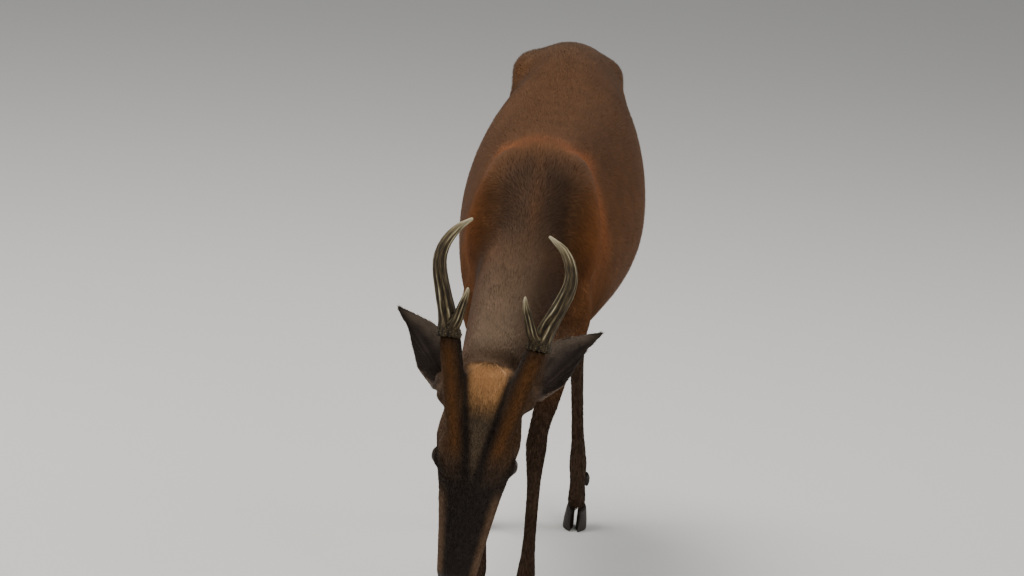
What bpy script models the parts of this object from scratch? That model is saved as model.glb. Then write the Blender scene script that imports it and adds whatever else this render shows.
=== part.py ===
"""Life-size still model of a muntjac stag with its head lowered to drink.

Metres, +Z up. The stag faces -Y and its left side is +X. The soles stand on z = 0, and
the origin is the middle of the whole model's footprint. The flesh is shaped as one body
and parted by thin plane cuts. The antlers, eyes, hooves and dewclaws are pieces of their own.
"""
import math

import bmesh
import bpy
import numpy as np
from mathutils import Matrix, Vector

# Sizes that drive the whole animal.
CUT = 0.0003
WITHERS = 0.530
CROUP = 0.562
BARREL_HALF_WIDTH = 0.099
BARREL_SHIFT = 0.007
SHOULDER_HALF_WIDTH = 0.074
HIP_HALF_WIDTH = 0.067
HEAD_LENGTH = 0.205
ZYGOMA_HALF_WIDTH = 0.0425
EYE_RADIUS = 0.0120
EYE_PLACE = Vector((0.0305, -0.0765, -0.0240))
MOUTH_LEVEL = -0.0515
CROWN = Vector((-0.0222, -0.236, 0.322))
FACE_FROM_VERTICAL = math.radians(17.0)
HEAD_TILT = math.radians(3.2)
BURR_HEIGHT = 0.0385
BURR_SPREAD = 0.044
PEDICLE_RADIUS = 0.0114
ANTLER_RISE = {"left": 0.1145, "right": 0.1200}
ANTLER_TIP_IN = {"left": 0.0070, "right": 0.0035}
TINE_LEAN = {"left": -0.0045, "right": 0.0040}
EAR_ROOT = {"left": (0.0440, 0.0000, -0.0560), "right": (0.0440, -0.0055, -0.0560)}
EAR_TIP = {"left": (0.1045, 0.0720, -0.0660), "right": (0.1040, 0.0650, -0.0660)}
EAR_HALF_WIDTH = 0.0215
EAR_WALL = 0.0030
KNEE = 0.210
HOCK = 0.238
FETLOCK = 0.068
CORONET = 0.024
CLAW_LENGTH = 0.037
CLAW_WIDTH = 0.0132
FORE_STANCE = 0.026
HIND_STANCE = 0.057
FORE_KNEE_Y = -0.020
HOCK_Y = 0.492
FORE_STEP = {"left": 0.0, "right": 0.016}
HIND_STEP = {"left": 0.0, "right": -0.050}
FLESH_VOXEL = 0.0022

SIDES = {"left": 1.0, "right": -1.0}


def clear_scene():
    for obj in list(bpy.data.objects):
        bpy.data.objects.remove(obj, do_unlink=True)


def finish(name, colour, roughness):
    mat = bpy.data.materials.new(name)
    mat.use_nodes = True
    shader = mat.node_tree.nodes["Principled BSDF"]
    shader.inputs["Base Color"].default_value = (*colour, 1.0)
    shader.inputs["Roughness"].default_value = roughness
    shader.inputs["Metallic"].default_value = 0.0
    mat.diffuse_color = (*colour, 1.0)
    return mat


def add_mesh(name, verts, faces):
    mesh = bpy.data.meshes.new(name)
    mesh.from_pydata([tuple(v) for v in verts], [], faces)
    obj = bpy.data.objects.new(name, mesh)
    bpy.context.scene.collection.objects.link(obj)
    return obj


def drop(*objects):
    for obj in objects:
        bpy.data.objects.remove(obj, do_unlink=True)


def rows_along(stations, count):
    """Catmull-Rom rows through the stations, evenly spaced along their first three values."""
    keys = np.array(stations, dtype=float)
    padded = np.vstack([2 * keys[0] - keys[1], keys, 2 * keys[-1] - keys[-2]])
    dense = []
    for i in range(1, len(padded) - 2):
        a, b, c, d = padded[i - 1:i + 3]
        for t in np.linspace(0.0, 1.0, 24, endpoint=False):
            dense.append(0.5 * (2 * b + (c - a) * t + (2 * a - 5 * b + 4 * c - d) * t ** 2
                                + (3 * b - a - 3 * c + d) * t ** 3))
    dense.append(keys[-1])
    dense = np.array(dense)
    steps = np.linalg.norm(np.diff(dense[:, :3], axis=0), axis=1)
    run = np.concatenate([[0.0], np.cumsum(steps)])
    even = np.linspace(0.0, run[-1], count)
    return np.array([[np.interp(s, run, dense[:, k]) for k in range(dense.shape[1])] for s in even])


def skin_rings(name, rings, strip_ends=False):
    """Closed mesh through rings of equal count. The ends are fans, or strips on a folded sheet."""
    sides = len(rings[0])
    verts = [p for ring in rings for p in ring]
    faces = []
    for i in range(len(rings) - 1):
        for j in range(sides):
            k = (j + 1) % sides
            faces.append((i * sides + j, i * sides + k, (i + 1) * sides + k, (i + 1) * sides + j))
    for start, flip in ((0, True), ((len(rings) - 1) * sides, False)):
        loop = list(range(start, start + sides))
        if strip_ends:
            faces += [(loop[j], loop[j + 1], loop[-j - 2], loop[-j - 1]) for j in range(sides // 2 - 1)]
            continue
        verts.append(np.mean([verts[i] for i in loop], axis=0))
        tip = len(verts) - 1
        for j in range(sides):
            a, b = loop[j], loop[(j + 1) % sides]
            faces.append((b, a, tip) if flip else (a, b, tip))
    obj = add_mesh(name, verts, faces)
    outward(obj.data)
    return obj


def outward(mesh):
    bm = bmesh.new()
    bm.from_mesh(mesh)
    bmesh.ops.recalc_face_normals(bm, faces=bm.faces)
    bm.to_mesh(mesh)
    bm.free()


def round_ends(rows):
    """Scale factors that close a limb with domes instead of flat lids."""
    run = np.linalg.norm(np.diff(rows[:, :3], axis=0), axis=1)
    run = np.concatenate([[0.0], np.cumsum(run)])
    scale = np.ones(len(rows))
    for i in range(len(rows)):
        for gap, radius in ((run[i], rows[0, 3:5].mean()), (run[-1] - run[i], rows[-1, 3:5].mean())):
            if gap < radius:
                scale[i] = min(scale[i], math.sqrt(max(1 - (1 - gap / radius) ** 2, 0.04)))
    return scale


def limb(name, stations, count=26, sides=20, domed=True):
    """Tube of oval rings. A station is x, y, z, half width, half depth."""
    rows = rows_along(stations, count)
    scale = round_ends(rows) if domed else np.ones(len(rows))
    rings = []
    for i, row in enumerate(rows):
        before, after = rows[max(i - 1, 0), :3], rows[min(i + 1, len(rows) - 1), :3]
        along = Vector(after - before).normalized()
        across = (Vector((1, 0, 0)) - along * along.x).normalized()
        deep = along.cross(across)
        centre = Vector(row[:3])
        ring = []
        for j in range(sides):
            a = math.tau * j / sides
            ring.append(centre + across * (row[3] * scale[i] * math.cos(a))
                        + deep * (row[4] * scale[i] * math.sin(a)))
        rings.append(ring)
    return skin_rings(name, rings)


def trunk(name, stations, count=40, sides=36):
    """Loft along Y. A station is y, centre x, half width, top z, bottom z, widest z, lower pinch."""
    keys = [(0.0, s[0], 0.0) + tuple(s[1:]) for s in stations]
    rings = []
    for row in rows_along(keys, count):
        y, cx, half, top, bottom, wide, pinch = row[1], *row[3:]
        ring = []
        for j in range(sides):
            a = math.tau * j / sides
            c, s = math.cos(a), math.sin(a)
            power = 0.92 if s > 0 else pinch
            reach = top - wide if s > 0 else wide - bottom
            ring.append((cx + half * math.copysign(abs(c) ** power, c), y, wide + reach * s))
        rings.append(ring)
    return skin_rings(name, rings)


def ball(name, centre, radii, turn=Matrix.Identity(3), rings=12, sides=20):
    verts, loops = [], []
    for i in range(1, rings):
        t = math.pi * i / rings
        loop = []
        for j in range(sides):
            a = math.tau * j / sides
            loop.append(Vector((math.sin(t) * math.cos(a), math.sin(t) * math.sin(a), math.cos(t))))
        loops.append(loop)
    for loop in loops:
        verts.append([Vector(centre) + turn @ Vector((p.x * radii[0], p.y * radii[1], p.z * radii[2]))
                      for p in loop])
    obj = skin_rings(name, verts)
    top = len(obj.data.vertices) - 2
    obj.data.vertices[top].co = Vector(centre) + turn @ Vector((0, 0, radii[2]))
    obj.data.vertices[top + 1].co = Vector(centre) - turn @ Vector((0, 0, radii[2]))
    return obj


def evaluated(obj):
    """Replace the object's mesh by what its modifiers give."""
    graph = bpy.context.evaluated_depsgraph_get()
    mesh = bpy.data.meshes.new_from_object(obj.evaluated_get(graph))
    obj.modifiers.clear()
    obj.data = mesh
    return obj


def joined(name, objects):
    verts, faces = [], []
    for obj in objects:
        base = len(verts)
        verts += [obj.matrix_world @ v.co for v in obj.data.vertices]
        faces += [tuple(base + i for i in poly.vertices) for poly in obj.data.polygons]
    drop(*objects)
    return add_mesh(name, verts, faces)


def fused(name, objects, voxel):
    """One closed surface round shapes that run into each other."""
    obj = joined(name, objects)
    mod = obj.modifiers.new("fuse", "REMESH")
    mod.mode = "VOXEL"
    mod.voxel_size = voxel
    return largest_part(evaluated(obj))


def largest_part(obj):
    bm = bmesh.new()
    bm.from_mesh(obj.data)
    parts = loose_parts(bm)
    keep = max(parts, key=len)
    bmesh.ops.delete(bm, geom=[v for v in bm.verts if v not in keep], context="VERTS")
    bm.to_mesh(obj.data)
    bm.free()
    return obj


def loose_parts(bm):
    seen, parts = set(), []
    for start in bm.verts:
        if start in seen:
            continue
        part, stack = set(), [start]
        while stack:
            v = stack.pop()
            if v in part:
                continue
            part.add(v)
            stack += [e.other_vert(v) for e in v.link_edges if e.other_vert(v) not in part]
        seen |= part
        parts.append(part)
    return parts


def boolean(obj, other, how, solver="EXACT"):
    mod = obj.modifiers.new("cut", "BOOLEAN")
    mod.operation = how
    mod.solver = solver
    mod.object = other
    evaluated(obj)
    drop(other)
    return obj


def tidy_triangles(obj, merge=0.00002):
    bm = bmesh.new()
    bm.from_mesh(obj.data)
    bmesh.ops.remove_doubles(bm, verts=bm.verts, dist=merge)
    bmesh.ops.triangulate(bm, faces=bm.faces)
    bmesh.ops.dissolve_degenerate(bm, edges=bm.edges, dist=merge)
    bmesh.ops.triangulate(bm, faces=bm.faces)
    bmesh.ops.recalc_face_normals(bm, faces=bm.faces)
    if bm.calc_volume(signed=True) < 0:
        bmesh.ops.reverse_faces(bm, faces=bm.faces)
    bm.to_mesh(obj.data)
    bm.free()
    return obj


def copy_of(obj, name):
    twin = bpy.data.objects.new(name, obj.data.copy())
    bpy.context.scene.collection.objects.link(twin)
    return twin


def reduced(obj, triangles):
    count = sum(len(p.vertices) - 2 for p in obj.data.polygons)
    mod = obj.modifiers.new("fewer", "DECIMATE")
    mod.ratio = min(1.0, triangles / count)
    return evaluated(obj)


def half(obj, point, normal, gap=CUT / 2):
    """Keep what lies behind the plane, less half a cut, and close the cut face."""
    bm = bmesh.new()
    bm.from_mesh(obj.data)
    normal = Vector(normal).normalized()
    spot = Vector(point) - normal * gap
    geom = list(bm.verts) + list(bm.edges) + list(bm.faces)
    bmesh.ops.bisect_plane(bm, geom=geom, dist=1e-7, plane_co=spot, plane_no=normal, clear_outer=True)
    rim = [e for e in bm.edges if e.is_boundary]
    bmesh.ops.holes_fill(bm, edges=rim, sides=0)
    bmesh.ops.triangulate(bm, faces=[f for f in bm.faces if len(f.verts) > 3])
    bm.to_mesh(obj.data)
    bm.free()
    return obj


def parted(obj, point, normal, behind, ahead):
    """Two objects from one, face to face across a thin cut."""
    second = copy_of(obj, ahead)
    obj.name = behind
    half(obj, point, normal)
    half(second, point, -Vector(normal))
    return obj, second


def by_side(obj, stem):
    """Left and right leg from a mesh that holds both, without what doesn't reach the ground."""
    out = {}
    for side, sign in SIDES.items():
        twin = copy_of(obj, stem.format(side))
        bm = bmesh.new()
        bm.from_mesh(twin.data)
        away = set()
        for part in loose_parts(bm):
            wrong_side = sum(v.co.x for v in part) * sign < 0
            if wrong_side or min(v.co.z for v in part) > CORONET:
                away |= part
        bmesh.ops.delete(bm, geom=list(away), context="VERTS")
        bm.to_mesh(twin.data)
        bm.free()
        out[side] = largest_part(twin)
    drop(obj)
    return out


# The head is shaped level, nose to -Y with the crown at the origin, then turned nose down.
HEAD = (Matrix.Translation(CROWN) @ Matrix.Rotation(HEAD_TILT, 4, "Y")
        @ Matrix.Rotation(math.pi / 2 - FACE_FROM_VERTICAL, 4, "X"))


def place_on_head(obj):
    obj.data.transform(HEAD)
    return obj


def torso_pieces():
    w, c, b, s = WITHERS, CROUP, BARREL_HALF_WIDTH, BARREL_SHIFT
    barrel = trunk("barrel", [
        (-0.092, 0.0, 0.022, w - 0.105, 0.375, 0.395, 0.9),
        (-0.075, 0.0, 0.044, w - 0.070, 0.330, 0.390, 0.9),
        (-0.040, 0.0, 0.058, w - 0.030, 0.300, 0.385, 0.95),
        (0.000, 0.0, 0.066, w - 0.008, 0.290, 0.380, 1.0),
        (0.060, 0.0, 0.078, w - 0.004, 0.284, 0.387, 1.1),
        (0.130, 0.5 * s, b - 0.009, w + 0.003, 0.279, 0.394, 1.25),
        (0.210, s, b - 0.001, w + 0.012, 0.276, 0.399, 1.35),
        (0.280, 1.25 * s, b - 0.005, w + 0.022, 0.286, 0.407, 1.3),
        (0.340, 1.25 * s, b - 0.021, c - 0.004, 0.315, 0.427, 1.1),
        (0.400, 0.6 * s, HIP_HALF_WIDTH + 0.003, c, 0.350, 0.455, 1.0),
        (0.455, 0.3 * s, HIP_HALF_WIDTH - 0.010, c - 0.010, 0.375, 0.460, 1.0),
        (0.500, 0.0, HIP_HALF_WIDTH - 0.026, c - 0.042, 0.395, 0.458, 1.0),
        (0.528, 0.0, HIP_HALF_WIDTH - 0.046, c - 0.082, 0.420, 0.450, 1.0)])
    neck = limb("nape", [
        (-0.0215, -0.200, 0.300, 0.030, 0.036),
        (-0.0200, -0.172, 0.318, 0.035, 0.042),
        (-0.0150, -0.130, 0.348, 0.039, 0.048),
        (-0.0080, -0.080, 0.385, 0.045, 0.060),
        (-0.0010, -0.025, 0.415, 0.054, 0.076),
        (0.0000, 0.040, 0.430, 0.058, 0.088)], count=30, sides=28)
    dewlap = limb("throat", [
        (-0.0200, -0.165, 0.290, 0.022, 0.030),
        (-0.0150, -0.120, 0.318, 0.026, 0.034),
        (-0.0060, -0.080, 0.350, 0.032, 0.040),
        (0.0000, -0.045, 0.370, 0.040, 0.045)])
    return [barrel, neck, dewlap]


def shoulder_pieces(sign):
    out = SHOULDER_HALF_WIDTH
    blade = limb("blade", [
        (sign * (out - 0.048), 0.022, WITHERS - 0.022, 0.018, 0.030),
        (sign * (out - 0.038), -0.002, 0.470, 0.025, 0.042),
        (sign * (out - 0.032), -0.028, 0.425, 0.029, 0.044),
        (sign * (out - 0.034), -0.046, 0.390, 0.026, 0.036)])
    upper_arm = limb("upper_arm", [
        (sign * (out - 0.035), -0.050, 0.388, 0.024, 0.030),
        (sign * (out - 0.032), -0.028, 0.360, 0.026, 0.036),
        (sign * (out - 0.032), 0.000, 0.330, 0.023, 0.030),
        (sign * (out - 0.036), 0.008, 0.308, 0.016, 0.021)])
    triceps = limb("triceps", [
        (sign * (out - 0.034), 0.030, 0.435, 0.020, 0.034),
        (sign * (out - 0.029), 0.024, 0.385, 0.026, 0.040),
        (sign * (out - 0.031), 0.018, 0.345, 0.021, 0.027),
        (sign * (out - 0.036), 0.018, 0.318, 0.012, 0.015)])
    return [blade, upper_arm, triceps]


def thigh_pieces(sign, step):
    out = HIP_HALF_WIDTH
    return [
        limb("hip", [
            (sign * (out - 0.034), 0.362, 0.495, 0.018, 0.018),
            (sign * (out - 0.0335), 0.402, 0.520, 0.028, 0.025),
            (sign * (out - 0.0335), 0.440, 0.517, 0.029, 0.026),
            (sign * (out - 0.037), 0.478, 0.488, 0.024, 0.026)]),
        limb("thigh", [
            (sign * (out - 0.033), 0.425, 0.500, 0.031, 0.055),
            (sign * (out - 0.028), 0.432, 0.450, 0.034, 0.072),
            (sign * (out - 0.024), 0.425, 0.400, 0.035, 0.070),
            (sign * (out - 0.021), 0.405, 0.360, 0.029, 0.052),
            (sign * (out - 0.021), 0.395, 0.335, 0.022, 0.040)]),
        limb("buttock", [
            (sign * (out - 0.040), 0.490, 0.470, 0.024, 0.030),
            (sign * (out - 0.036), 0.501, 0.425, 0.028, 0.031),
            (sign * (out - 0.034), 0.487, 0.385, 0.025, 0.027),
            (sign * (out - 0.033), 0.465 + 0.3 * step, 0.348, 0.019, 0.023),
            (sign * (out - 0.030), 0.452 + 0.5 * step, 0.314, 0.013, 0.017)]),
        limb("stifle", [
            (sign * (out - 0.022), 0.350, 0.400, 0.016, 0.022),
            (sign * (out - 0.017), 0.345, 0.365, 0.019, 0.022),
            (sign * (out - 0.018), 0.355, 0.335, 0.017, 0.019)])]


def foreleg_pieces(sign, step):
    x, y = FORE_STANCE, FORE_KNEE_Y + step
    return [
        limb("forearm", [
            (sign * 0.038, 0.004, 0.330, 0.020, 0.026),
            (sign * 0.034, 0.000, 0.290, 0.0170, 0.0225),
            (sign * 0.030, -0.006 + 0.3 * step, 0.255, 0.0130, 0.0165),
            (sign * (x - 0.001), y + 0.004, KNEE + 0.020, 0.0108, 0.0125),
            (sign * (x - 0.002), y, KNEE, 0.0118, 0.0130),
            (sign * (x - 0.002), y + 0.002, KNEE - 0.020, 0.0098, 0.0108),
            (sign * (x - 0.001), y + 0.005, KNEE - 0.050, 0.0076, 0.0088),
            (sign * x, y + 0.008, FETLOCK + 0.034, 0.0073, 0.0086),
            (sign * x, y + 0.008, FETLOCK + 0.012, 0.0092, 0.0108),
            (sign * x, y + 0.006, FETLOCK, 0.0106, 0.0122),
            (sign * x, y - 0.003, FETLOCK - 0.018, 0.0096, 0.0100),
            (sign * x, y - 0.012, CORONET + 0.008, 0.0112, 0.0108),
            (sign * x, y - 0.018, CORONET - 0.010, 0.0112, 0.0110)], count=64)]


def hindleg_pieces(sign, step):
    x, y = HIND_STANCE, HOCK_Y + step
    return [
        limb("gaskin", [
            (sign * 0.047, 0.385, 0.355, 0.024, 0.046),
            (sign * 0.045, 0.414 + 0.3 * step, 0.312, 0.0185, 0.0345),
            (sign * 0.040, 0.452 + 0.7 * step, 0.276, 0.0130, 0.0230),
            (sign * 0.036, y - 0.008, HOCK + 0.008, 0.0115, 0.0155),
            (sign * 0.036, y, HOCK - 0.014, 0.0122, 0.0150),
            (sign * 0.038, y - 0.002, HOCK - 0.042, 0.0094, 0.0120),
            (sign * 0.043, y - 0.008, HOCK - 0.085, 0.0078, 0.0100),
            (sign * 0.049, y - 0.014, FETLOCK + 0.034, 0.0078, 0.0094),
            (sign * (x - 0.005), y - 0.017, FETLOCK + 0.010, 0.0098, 0.0112),
            (sign * (x - 0.004), y - 0.020, FETLOCK, 0.0108, 0.0122),
            (sign * (x - 0.002), y - 0.030, FETLOCK - 0.018, 0.0096, 0.0100),
            (sign * (x - 0.001), y - 0.039, CORONET + 0.008, 0.0110, 0.0108),
            (sign * x, y - 0.045, CORONET - 0.010, 0.0110, 0.0110)], count=70),
        limb("heel_cord", [
            (sign * 0.041, 0.447 + 0.5 * step, 0.340, 0.012, 0.018),
            (sign * 0.039, 0.470 + 0.8 * step, 0.300, 0.0075, 0.0115),
            (sign * 0.036, y + 0.004, HOCK + 0.024, 0.0062, 0.0090),
            (sign * 0.036, y + 0.013, HOCK + 0.006, 0.0072, 0.0085),
            (sign * 0.036, y + 0.006, HOCK - 0.022, 0.0070, 0.0080)])]


def skull_pieces():
    """Level head: y runs from the occiput to the nose tip, z = 0 is the crown's top."""
    e, n = ZYGOMA_HALF_WIDTH, -HEAD_LENGTH
    upper = trunk("face", [
        (0.022, 0.0, 0.020, -0.020, -0.060, -0.040, 1.0),
        (0.010, 0.0, 0.032, -0.005, -0.078, -0.040, 1.0),
        (-0.010, 0.0, 0.037, 0.002, -0.086, -0.038, 1.0),
        (-0.032, 0.0, e - 0.003, 0.004, -0.090, -0.037, 1.1),
        (-0.054, 0.0, e, 0.002, -0.088, -0.034, 1.2),
        (-0.078, 0.0, e - 0.004, -0.003, -0.080, -0.031, 1.2),
        (-0.100, 0.0, e - 0.0085, -0.009, -0.069, -0.031, 1.05),
        (-0.125, 0.0, 0.0290, -0.015, -0.061, -0.035, 0.95),
        (-0.150, 0.0, 0.0252, -0.0195, -0.057, -0.038, 0.85),
        (-0.175, 0.0, 0.0220, -0.023, -0.0545, -0.040, 0.80),
        (n + 0.014, 0.0, 0.0198, -0.0255, -0.0525, -0.041, 0.80),
        (n + 0.004, 0.0, 0.0165, -0.0280, -0.0505, -0.041, 0.85),
        (n, 0.0, 0.0110, -0.0320, -0.0475, -0.041, 0.95)], count=54, sides=36)
    jaw = trunk("jaw", [
        (-0.020, 0.0, 0.020, -0.060, -0.094, -0.072, 1.0),
        (-0.045, 0.0, 0.0275, -0.058, -0.1000, -0.072, 1.0),
        (-0.075, 0.0, 0.0260, -0.054, -0.0930, -0.068, 1.0),
        (-0.105, 0.0, 0.0205, -0.050, -0.0800, -0.060, 1.0),
        (-0.140, 0.0, 0.0170, -0.048, -0.0700, -0.056, 1.0),
        (-0.170, 0.0, 0.0165, -0.046, -0.0650, -0.054, 0.95),
        (n + 0.018, 0.0, 0.0145, -0.046, -0.0620, -0.053, 0.95),
        (n + 0.010, 0.0, 0.0090, -0.047, -0.0580, -0.052, 1.0)], count=36, sides=28)
    pieces = [upper, jaw]
    pieces.append(ball("nose", (0, n + 0.010, -0.0355), (0.0165, 0.0110, 0.0110)))
    upper_lip = [(0.0196, -0.138, -0.0505), (0.0195, -0.160, -0.0492), (0.0188, -0.180, -0.0482),
                 (0.0140, n + 0.0075, -0.0478), (0.0060, n + 0.0030, -0.0475)]
    lower_lip = [(0.0165, -0.142, -0.0560), (0.0158, -0.165, -0.0555), (0.0140, -0.182, -0.0548),
                 (0.0095, n + 0.0120, -0.0542), (0.0040, n + 0.0095, -0.0540)]
    for lip, thick in ((upper_lip, 0.0028), (lower_lip, 0.0026)):
        whole = lip + [(-x, y, z) for x, y, z in reversed(lip)]
        pieces.append(limb("lip", [(*p, thick, thick) for p in whole], count=36, sides=10))
    for side, sign in SIDES.items():
        x, y, z = EYE_PLACE
        pieces.append(ball("orbit", (sign * (x - 0.0050), y + 0.003, z + 0.001), (0.0145, 0.0230, 0.0180)))
        pieces.append(ball("brow", (sign * (x - 0.006), y + 0.010, z + 0.012), (0.0130, 0.0250, 0.0090),
                           Matrix.Rotation(sign * 0.25, 3, "Z")))
        pieces.append(ball("cheek", (sign * 0.0245, -0.040, -0.062), (0.0155, 0.0330, 0.0270)))
        pieces.append(limb("pedicle", [
            (sign * 0.0160, -0.078, -0.013, 0.0060, 0.0070),
            (sign * 0.0225, -0.052, -0.005, 0.0090, 0.0092),
            (sign * 0.0285, -0.024, -0.003, 0.0112, 0.0112),
            (sign * 0.0345, 0.004, -0.001, 0.0116, 0.0116),
            (sign * 0.0400, 0.026, 0.001, PEDICLE_RADIUS, PEDICLE_RADIUS),
            (sign * BURR_SPREAD, BURR_HEIGHT + 0.008, 0.002, PEDICLE_RADIUS, PEDICLE_RADIUS)], count=34))
        root_y = EAR_ROOT[side][1]
        pieces.append(limb("ear_root", [
            (sign * 0.024, root_y - 0.016, -0.052, 0.015, 0.017),
            (sign * 0.036, root_y - 0.008, -0.053, 0.0140, 0.0155),
            (sign * 0.045, root_y + 0.003, -0.055, 0.0115, 0.0130)]))
    pieces.append(ball("crest", (0, -0.004, -0.006), (0.022, 0.026, 0.010)))
    for piece in pieces:
        place_on_head(piece)
    return pieces


def fused_flesh():
    pieces = torso_pieces() + skull_pieces()
    for side, sign in SIDES.items():
        pieces += shoulder_pieces(sign) + thigh_pieces(sign, HIND_STEP[side])
        pieces += foreleg_pieces(sign, FORE_STEP[side])
        pieces += hindleg_pieces(sign, HIND_STEP[side])
    pieces.append(limb("dock", [
        (0.0, 0.470, 0.505, 0.022, 0.020),
        (0.0, 0.505, 0.497, 0.018, 0.015),
        (0.0, 0.526, 0.482, 0.014, 0.012)]))
    flesh = fused("flesh", pieces, FLESH_VOXEL)
    soften(flesh)
    return flesh


def soften(obj):
    """Blend the joins: broadly on the trunk, lightly on the head and the lower legs."""
    trunk_group = obj.vertex_groups.new(name="trunk")
    back = HEAD.inverted()
    for v in obj.data.vertices:
        high = min(max((v.co.z - 0.25) / 0.08, 0.0), 1.0)
        behind = min(max(((back @ v.co).z * -1.0 - 0.085) / 0.05, 0.0), 1.0)
        weight = high * behind if v.co.y < -0.10 else high
        weight = max(weight, 0.06)
        trunk_group.add([v.index], weight, "REPLACE")
    mod = obj.modifiers.new("blend", "SMOOTH")
    mod.factor = 0.5
    mod.iterations = 140
    mod.vertex_group = "trunk"
    even = obj.modifiers.new("even", "SMOOTH")
    even.factor = 0.5
    even.iterations = 3
    evaluated(obj)
    obj.vertex_groups.clear()


def cut_head_details(head):
    """Sockets, lids, nostrils, mouth line and gland slits, on the placed head."""
    n = -HEAD_LENGTH
    for sign in SIDES.values():
        x, y, z = EYE_PLACE
        lid = []
        for i in range(20):
            a = math.tau * i / 20
            span, rise = 0.0113 * math.cos(a), 0.0080 * math.sin(a) * (1.0 - 0.15 * math.cos(a))
            out = math.sqrt(max(EYE_RADIUS ** 2 - span ** 2 - rise ** 2, 0.0)) + 0.0002
            lid.append(Vector((sign * (x + out), y + span, z + rise)))
        rings = []
        for i, p in enumerate(lid):
            along = (lid[(i + 1) % 20] - lid[i - 1]).normalized()
            away = (p - Vector((sign * x, y, z))).normalized()
            side = along.cross(away)
            rings.append([p + away * (0.0017 * math.cos(b)) + side * (0.0020 * math.sin(b))
                          for b in (math.tau * k / 6 for k in range(6))])
        verts = [p for ring in rings for p in ring]
        faces = [(i * 6 + j, i * 6 + (j + 1) % 6, ((i + 1) % 20) * 6 + (j + 1) % 6, ((i + 1) % 20) * 6 + j)
                 for i in range(20) for j in range(6)]
        ring = add_mesh("lid", verts, faces)
        outward(ring.data)
        boolean(head, place_on_head(ring), "UNION")
        socket = ball("socket", (sign * x, y, z), [EYE_RADIUS + CUT] * 3, rings=12, sides=18)
        boolean(head, place_on_head(socket), "DIFFERENCE")
        slit = ball("gland", (sign * 0.0335, y - 0.028, z - 0.004), (0.0040, 0.0110, 0.0016),
                    Matrix.Rotation(sign * 0.42, 3, "Z"))
        boolean(head, place_on_head(slit), "DIFFERENCE")
        turn = Matrix.Rotation(-sign * 0.85, 3, "Z") @ Matrix.Rotation(0.45, 3, "X")
        nostril = ball("nostril", (sign * 0.0125, n + 0.0050, -0.0355), (0.0030, 0.0068, 0.0022), turn,
                       rings=8, sides=12)
        boolean(head, place_on_head(nostril), "DIFFERENCE")
    boolean(head, mouth_groove(head), "DIFFERENCE")
    return tidy_triangles(largest_part(head))


def mouth_groove(head):
    """A thin tube laid on the muzzle's surface from one mouth corner round to the other."""
    back, front, corner = -0.136, -0.190, -0.0545
    rays = [(y, corner + (MOUTH_LEVEL - corner) * (back - y) / (back - front), 0.0)
            for y in np.linspace(back, front, 5)]
    rays += [(front, MOUTH_LEVEL, turn) for turn in np.linspace(0.25, math.pi / 2, 5)]
    path = []
    for sign in (1.0, -1.0):
        side = []
        for y, level, turn in rays:
            way = HEAD.to_3x3() @ Vector((sign * math.cos(turn), -math.sin(turn), 0.0))
            start = HEAD @ Vector((0.0, y, level)) + way * 0.05
            _, spot, _, _ = head.ray_cast(start, -way)
            side.append((*spot, 0.0010, 0.0010))
        path += side if sign > 0 else side[-2::-1]
    return limb("lip_line", path, count=44, sides=6)


def eye(side, mat):
    sign = SIDES[side]
    obj = ball("eye_" + side, (sign * EYE_PLACE.x, EYE_PLACE.y, EYE_PLACE.z), [EYE_RADIUS] * 3,
               rings=12, sides=18)
    place_on_head(obj)
    obj.data.materials.append(mat)
    return obj


def ear(side, head, neck, mat):
    """A rolled leaf: closed round its root, open in front, with a pointed tip."""
    sign = SIDES[side]
    root = Vector((sign, 1, 1)) * Vector(EAR_ROOT[side])
    tip = Vector((sign, 1, 1)) * Vector(EAR_TIP[side])
    along = (tip - root).normalized()
    face = Vector((sign * 0.35, -0.15, 1.0))
    face = (face - along * face.dot(along)).normalized()
    across = along.cross(face) * sign
    length = (tip - root).length
    rows, cols = 24, 17
    outer, inner = [], []
    for i in range(rows):
        t = i / (rows - 1)
        width = EAR_HALF_WIDTH * float(np.interp(t, (0.0, 0.12, 0.30, 0.45, 0.60, 0.80, 1.0),
                                                 (0.52, 0.74, 1.0, 0.96, 0.76, 0.40, 0.06)))
        roll = math.radians(150 - 95 * min(t / 0.75, 1.0) ** 0.8)
        radius = width / math.sin(min(roll, math.pi / 2))
        bow = along * (t * length) - face * (0.010 * math.sin(math.pi * t))
        centre = root + bow - across * (0.005 * math.sin(math.pi * t))
        wall = EAR_WALL * (1.0 - 0.35 * t)
        a_row, b_row = [], []
        for j in range(cols):
            a = -roll + 2 * roll * j / (cols - 1)
            spoke = across * math.sin(a) - face * math.cos(a)
            edge = 1.0 - 0.5 * abs(j / (cols - 1) * 2 - 1) ** 6
            a_row.append(centre + face * radius * math.cos(roll) * 0.5 + spoke * (radius + wall / 2 * edge))
            b_row.append(centre + face * radius * math.cos(roll) * 0.5 + spoke * (radius - wall / 2 * edge))
        outer.append(a_row)
        inner.append(b_row)
    rings = [a + b[::-1] for a, b in zip(outer, inner)]
    obj = skin_rings("ear_" + side, rings, strip_ends=True)
    plug = ball("plug", root - face * 0.0035, (0.0106, 0.0082, 0.0130),
                Matrix((across, face, along)).transposed(), rings=8, sides=14)
    obj = fused("ear_" + side, [obj, plug], EAR_WALL / 3)
    reduced(obj, 400)
    place_on_head(obj)
    for neighbour in (head, neck):
        boolean(obj, swollen(neighbour), "DIFFERENCE")
    largest_part(obj)
    tidy_triangles(obj)
    obj.data.materials.append(mat)
    return obj


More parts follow.
